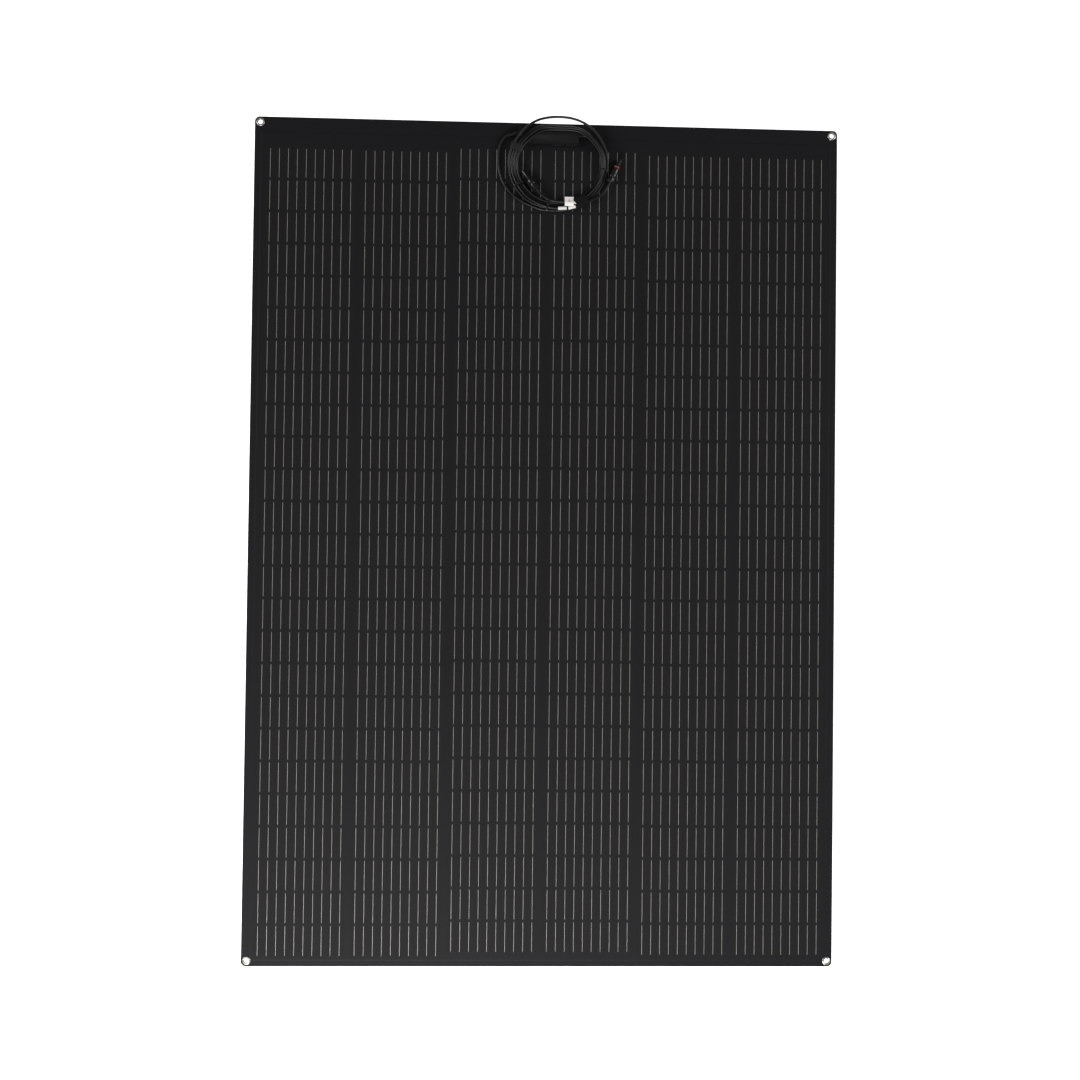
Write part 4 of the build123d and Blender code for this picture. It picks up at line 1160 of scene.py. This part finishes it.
class SOLAR_OT_connectors(bpy.types.Operator):
    """Makes the plug and the socket: nuts, shells, the red seal and the contacts"""

    bl_idname = "solar.connectors"
    bl_label = "Connectors"

    def execute(self, context):
        colours = context.scene.finish_settings
        for kind, joint in (("plug", "plug_nut_turns"), ("socket", "socket_nut_turns")):
            place, heading = axis_of(joint)
            nut = ribbed_nut(f"{kind}_cap_nut")
            stand_on_axis(nut, place, heading)
            paint(nut, glossy_black(colours))
            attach(nut, f"{kind}_nut_turn")
            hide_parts(f"{kind}_nut")
            shell = self.plug_shell() if kind == "plug" else self.socket_shell()
            stand_on_axis(shell, place, heading)
            paint(shell, glossy_black(colours))
            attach(shell, "panel_1")
            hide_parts(f"{kind}_body")
        place, heading = axis_of("plug_nut_turns")
        seal = turned("plug_seal_ring", [
            (33.5, 4.45), (33.5, 5.9), (34.0, 6.4), (34.7, 6.0), (35.3, 6.4), (36.4, 6.2),
            (36.8, 5.6), (36.8, 4.45), (33.5, 4.45)], sides=44, closed=False)
        smooth(seal, 50)
        stand_on_axis(seal, place, heading)
        paint(seal, red_seal(colours))
        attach(seal, "panel_1")
        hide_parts("plug_seal")
        for kind, joint, profile in (
            ("plug", "plug_nut_turns", [(37.0, 1.5), (48.6, 1.5), (49.5, 1.25), (50.0, 0.7)]),
            ("socket", "socket_nut_turns",
             [(32.0, 1.5), (44.6, 1.5), (45.0, 1.3), (45.0, 0.9), (36.0, 0.9)]),
        ):
            contact = smooth(turned(f"{kind}_contact", profile, sides=24))
            stand_on_axis(contact, *axis_of(joint))
            paint(contact, tinned_contact())
            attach(contact, "panel_1")
            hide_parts("contacts")
        return {"FINISHED"}

    def plug_shell(self):
        shell = turned("plug_shell", [
            (4.4, 2.9), (4.4, 5.6), (12.2, 5.6), (12.5, 7.0), (13.0, 7.35), (20.6, 7.35),
            (21.2, 7.0), (22.0, 7.0), (23.0, 7.2), (32.4, 6.3), (33.3, 6.0), (33.4, 4.4),
            (46.0, 4.4), (46.6, 4.1), (50.8, 4.1), (52.2, 3.7), (52.4, 3.4), (52.4, 2.7),
            (37.4, 2.7)], sides=48)
        apply_modifier(shell, "BEVEL", width=0.00015, segments=2, limit_method="ANGLE",
                       angle_limit=math.radians(40))
        return smooth(shell)

    def socket_shell(self):
        shell = turned("socket_shell", [
            (4.4, 2.9), (4.4, 5.6), (12.2, 5.6), (12.5, 7.0), (13.0, 7.35), (22.4, 7.35),
            (23.2, 6.9), (23.4, 4.0), (30.0, 3.9), (46.4, 3.8), (47.2, 3.4), (47.4, 3.1),
            (47.4, 2.65), (32.4, 2.65)], sides=48)
        arms = [shell]
        for side in (-1, 1):
            inner, outer = sorted((side * 0.0068, side * 0.0090))
            arm = block("latch_arm", (inner, -0.0028, 0.0124), (outer, 0.0028, 0.0262))
            bevel_edges(arm, 0.0006, 2)
            # the arm's end is hooked inwards
            for vertex in arm.data.vertices:
                if vertex.co.z > 0.0245:
                    vertex.co.x -= side * 0.0006
            arms.append(arm)
        return smooth(join(arms, "socket_shell"))


# ---------------------------------------------------------------- junction box and eyelets
def moulded(obj, radius, segments=3):
    apply_modifier(obj, "BEVEL", width=radius, segments=segments, limit_method="ANGLE",
                   angle_limit=math.radians(30))
    return smooth(obj, 40)


BOX_CORNER = 0.002  # radius of the box's upright corners


class SOLAR_OT_junction_box(bpy.types.Operator):
    """Makes the junction box: its ridged lid, its base with two latches, and the cable boots"""

    bl_idname = "solar.junction_box"
    bl_label = "Junction box"

    def execute(self, context):
        colours = context.scene.finish_settings
        plastic = moulded_black(colours)
        for piece, node in (
            (self.make_lid(), "junction_box_lid"), (self.make_base(), "junction_box_base"),
        ):
            paint(piece, plastic)
            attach(piece, "panel_1")
            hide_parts(node)
        self.make_boots(colours)
        for node, grey in (("box_adhesive", 0.02), ("box_potting", 0.012)):
            paint(frame["nodes"][node],
                  finish(node, (grey, grey, grey), 0.5, grain_scale=1500.0, bump=0.3))
        return {"FINISHED"}

    def make_lid(self):
        low, high = LID_LOW, LID_HIGH
        seat = BASE_HIGH.z
        lid = block("box_lid", (low.x, low.y, seat), high)
        middle = (low.y + high.y) / 2
        slice_along(lid, [middle, high.y - 0.003], (0, 1, 0))
        for vertex in lid.data.vertices:
            if vertex.co.z > seat + MM:
                if abs(vertex.co.y - low.y) < MM:
                    vertex.co.z -= 0.003
                elif abs(vertex.co.y - high.y) < MM:
                    vertex.co.z -= 0.001
        bevel_edges(lid, BOX_CORNER, 4, lambda a, b: abs(a.z - b.z) > MM and abs(a.y - b.y) < MM)
        # a sunk field on the slope towards the cells, as the moulding has
        choose(lid, lambda c, n: n.z > 0.9 and c.y < middle - 0.001 and c.z > seat + MM)
        bpy.ops.mesh.inset(thickness=0.0022, depth=-0.0005)
        bpy.ops.object.mode_set(mode="OBJECT")
        return moulded(lid, 0.0004)

    def make_base(self):
        low, high = BASE_LOW, BASE_HIGH
        # the latches reach past the wall, so the wall is taken from the lid
        base = block("box_base", (LID_LOW.x, LID_LOW.y, low.z), (LID_HIGH.x, LID_HIGH.y, high.z))
        bevel_edges(base, BOX_CORNER, 4, lambda a, b: abs(a.z - b.z) > MM)
        # a shadow line all round just under the lid
        groove_low, groove_high = high.z - 0.0009, high.z - 0.0003
        slice_along(base, [groove_low, groove_high], (0, 0, 1))
        choose(base, lambda c, n: abs(n.z) < 0.5 and groove_low < c.z < groove_high)
        bpy.ops.mesh.extrude_region_shrink_fatten(TRANSFORM_OT_shrink_fatten={"value": -0.0004})
        bpy.ops.object.mode_set(mode="OBJECT")
        parts = [moulded(base, 0.0003, 2)]
        for place, width in ((0.020, 0.022), (0.047, 0.020)):
            tab = block("latch", (place - width / 2, LID_LOW.y - 0.0025, high.z - 0.0022),
                        (place + width / 2, LID_LOW.y + 0.0005, high.z))
            parts.append(moulded(tab, 0.0005))
        return smooth(join(parts, "box_base"), 40)

    def make_boots(self, colours):
        """Tapered strain reliefs with three grooves each, where the cables leave the box."""
        low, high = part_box("cable_boots")
        for name, side in (("left_boot", -1), ("right_boot", 1)):
            boot = turned(name, [
                (-1.0, 2.6), (-1.0, 3.3), (0.0, 3.3), (0.0, 4.4), (1.2, 4.4), (1.5, 3.9), (2.3, 3.9),
                (2.6, 4.2), (3.6, 4.1), (3.9, 3.6), (4.7, 3.6), (5.0, 3.9), (6.0, 3.8), (6.3, 3.4),
                (7.0, 3.4), (7.3, 3.6), (8.7, 3.4), (9.0, 3.1), (9.0, 2.6), (-1.0, 2.6)],
                sides=40, closed=False)
            boot.rotation_euler = (0, side * math.pi / 2, 0)
            boot.location = (side * (high.x - 0.009), (low.y + high.y) / 2, (low.z + high.z) / 2)
            settle(boot)
            smooth(boot, 30)
            paint(boot, moulded_black(colours))
            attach(boot, "panel_1")
            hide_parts("cable_boots")


class SOLAR_OT_eyelets(bpy.types.Operator):
    """Makes the four rolled eyelets, and finishes the parts inside the box"""

    bl_idname = "solar.eyelets"
    bl_label = "Eyelets"

    def execute(self, context):
        for node, body in (("eyelets_top", "panel_1"), ("eyelets_bottom", f"panel_{PANELS}")):
            low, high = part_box(node)
            radius = (high.y - low.y) / 2
            pair = []
            for x in (low.x + radius, high.x - radius):
                eyelet = self.rolled_eyelet(radius / MM, high.z / MM)
                eyelet.location = (x, (low.y + high.y) / 2, 0)
                pair.append(settle(eyelet))
            eyelets = smooth(join(pair, f"rolled_{node}"), 50)
            paint(eyelets, bright_nickel())
            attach(eyelets, body)
            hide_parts(node)
        paint(frame["nodes"]["box_terminals"], tinned_contact())
        paint(frame["nodes"]["bypass_diodes"],
              finish("diode_body", (0.012, 0.012, 0.013), 0.4, grain_scale=2500.0))
        return {"FINISHED"}

    def rolled_eyelet(self, flange, top):
        """A washer below, a barrel through the sheet and a rolled flange that presses on the film."""
        sheet = bpy.context.scene.sheet_settings
        seat = (FACE_Z - sheet.rim_drop) / MM - 0.05
        return turned("eyelet", [
            (0.0, 4.5), (0.0, flange - 0.25), (0.2, flange), (0.5, flange), (0.5, 5.0), (seat, 5.0),
            (seat, flange - 0.2), (seat + 0.35, flange), (seat + 0.8, flange - 0.25),
            (top - 0.25, flange - 0.9), (top, flange - 1.9), (top, flange - 2.6), (top - 0.2, 5.2),
            (top - 0.7, 4.7), (top - 1.4, 4.5), (0.0, 4.5)], sides=48, closed=False)


# ---------------------------------------------------------------- stage
class SOLAR_OT_stage(bpy.types.Operator):
    """Adds the pale floor, soft lights and the camera"""

    bl_idname = "solar.stage"
    bl_label = "Stage"

    def execute(self, context):
        stage = context.scene.stage_settings
        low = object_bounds()[0]
        bpy.ops.mesh.primitive_plane_add(
            size=stage.floor_size, location=(0, 0, low[2] - stage.floor_drop))
        floor = named("floor")
        settle(floor)
        white = finish("floor_paint", (0.93, 0.93, 0.93), 0.9, grain=0.0, drift=0.0, specular=0.0)
        glow = parts_of(white)[0]
        glow.inputs["Emission Color"].default_value = (1.0, 1.0, 1.0, 1.0)
        glow.inputs["Emission Strength"].default_value = 0.75
        paint(floor, white)
        floor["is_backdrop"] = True
        for name, place, size, power, aim in (
            ("left_softbox", (-4.6, 0.6, 2.4), 2.2, 200.0, (0, 0, 0)),
            ("right_softbox", (4.6, 0.4, 2.4), 2.2, 185.0, (0, 0, 0)),
            ("low_softbox", (-0.6, -2.6, 1.9), 1.4, 150.0, (0, -1.2, 0)),
        ):
            light = bpy.data.lights.new(name, "AREA")
            light.shape = "SQUARE"
            light.size = size
            light.energy = power
            lamp = add_object(name, light)
            lamp.location = place
            lamp.rotation_euler = (Vector(aim) - Vector(place)).to_track_quat("-Z", "Y").to_euler()
        world = bpy.data.worlds.new("studio")
        world.use_nodes = True
        background = world.node_tree.nodes["Background"]
        background.inputs["Color"].default_value = (1.0, 1.0, 1.0, 1.0)
        background.inputs["Strength"].default_value = 0.20
        context.scene.world = world
        camera_data = bpy.data.cameras.new("camera")
        camera_data.lens = stage.lens
        camera_data.sensor_width = 36.0
        camera = add_object("camera", camera_data)
        camera.location = stage.camera_place
        camera.rotation_euler = stage.camera_turn
        context.scene.camera = camera
        context.scene.view_settings.view_transform = "Standard"
        return {"FINISHED"}


# ---------------------------------------------------------------- add-on
class SOLAR_PT_sheet(bpy.types.Panel):
    """Lists the settings and the operators that build the sheet"""

    bl_idname = "SOLAR_PT_sheet"
    bl_label = "Solar sheet"
    bl_space_type = "VIEW_3D"
    bl_region_type = "UI"
    bl_category = "Solar sheet"

    def draw(self, context):
        for name in ("sheet_settings", "lead_settings", "finish_settings", "stage_settings"):
            settings = getattr(context.scene, name)
            column = self.layout.column()
            for key in settings.__annotations__:
                column.prop(settings, key)
        for operator in STEPS:
            self.layout.operator(operator.bl_idname)


GROUPS = {
    "sheet_settings": SheetSettings,
    "lead_settings": LeadSettings,
    "finish_settings": FinishSettings,
    "stage_settings": StageSettings,
}
STEPS = (
    SOLAR_OT_stage, SOLAR_OT_laminate, SOLAR_OT_cells, SOLAR_OT_ribbons, SOLAR_OT_connectors,
    SOLAR_OT_junction_box, SOLAR_OT_eyelets, SOLAR_OT_bands, SOLAR_OT_leads,
)
CLASSES = (*GROUPS.values(), *STEPS, SOLAR_PT_sheet)


def register():
    for cls in CLASSES:
        bpy.utils.register_class(cls)
    for name, group in GROUPS.items():
        setattr(bpy.types.Scene, name, bpy.props.PointerProperty(type=group))


def unregister():
    for name in GROUPS:
        delattr(bpy.types.Scene, name)
    for cls in reversed(CLASSES):
        bpy.utils.unregister_class(cls)


def main():
    register()
    bpy.ops.solar.stage()
    bpy.ops.solar.laminate()
    bpy.ops.solar.cells()
    bpy.ops.solar.ribbons()
    bpy.ops.solar.connectors()
    bpy.ops.solar.junction_box()
    bpy.ops.solar.eyelets()
    bpy.ops.solar.bands()
    bpy.ops.solar.leads()


if __name__ == "__main__":
    main()
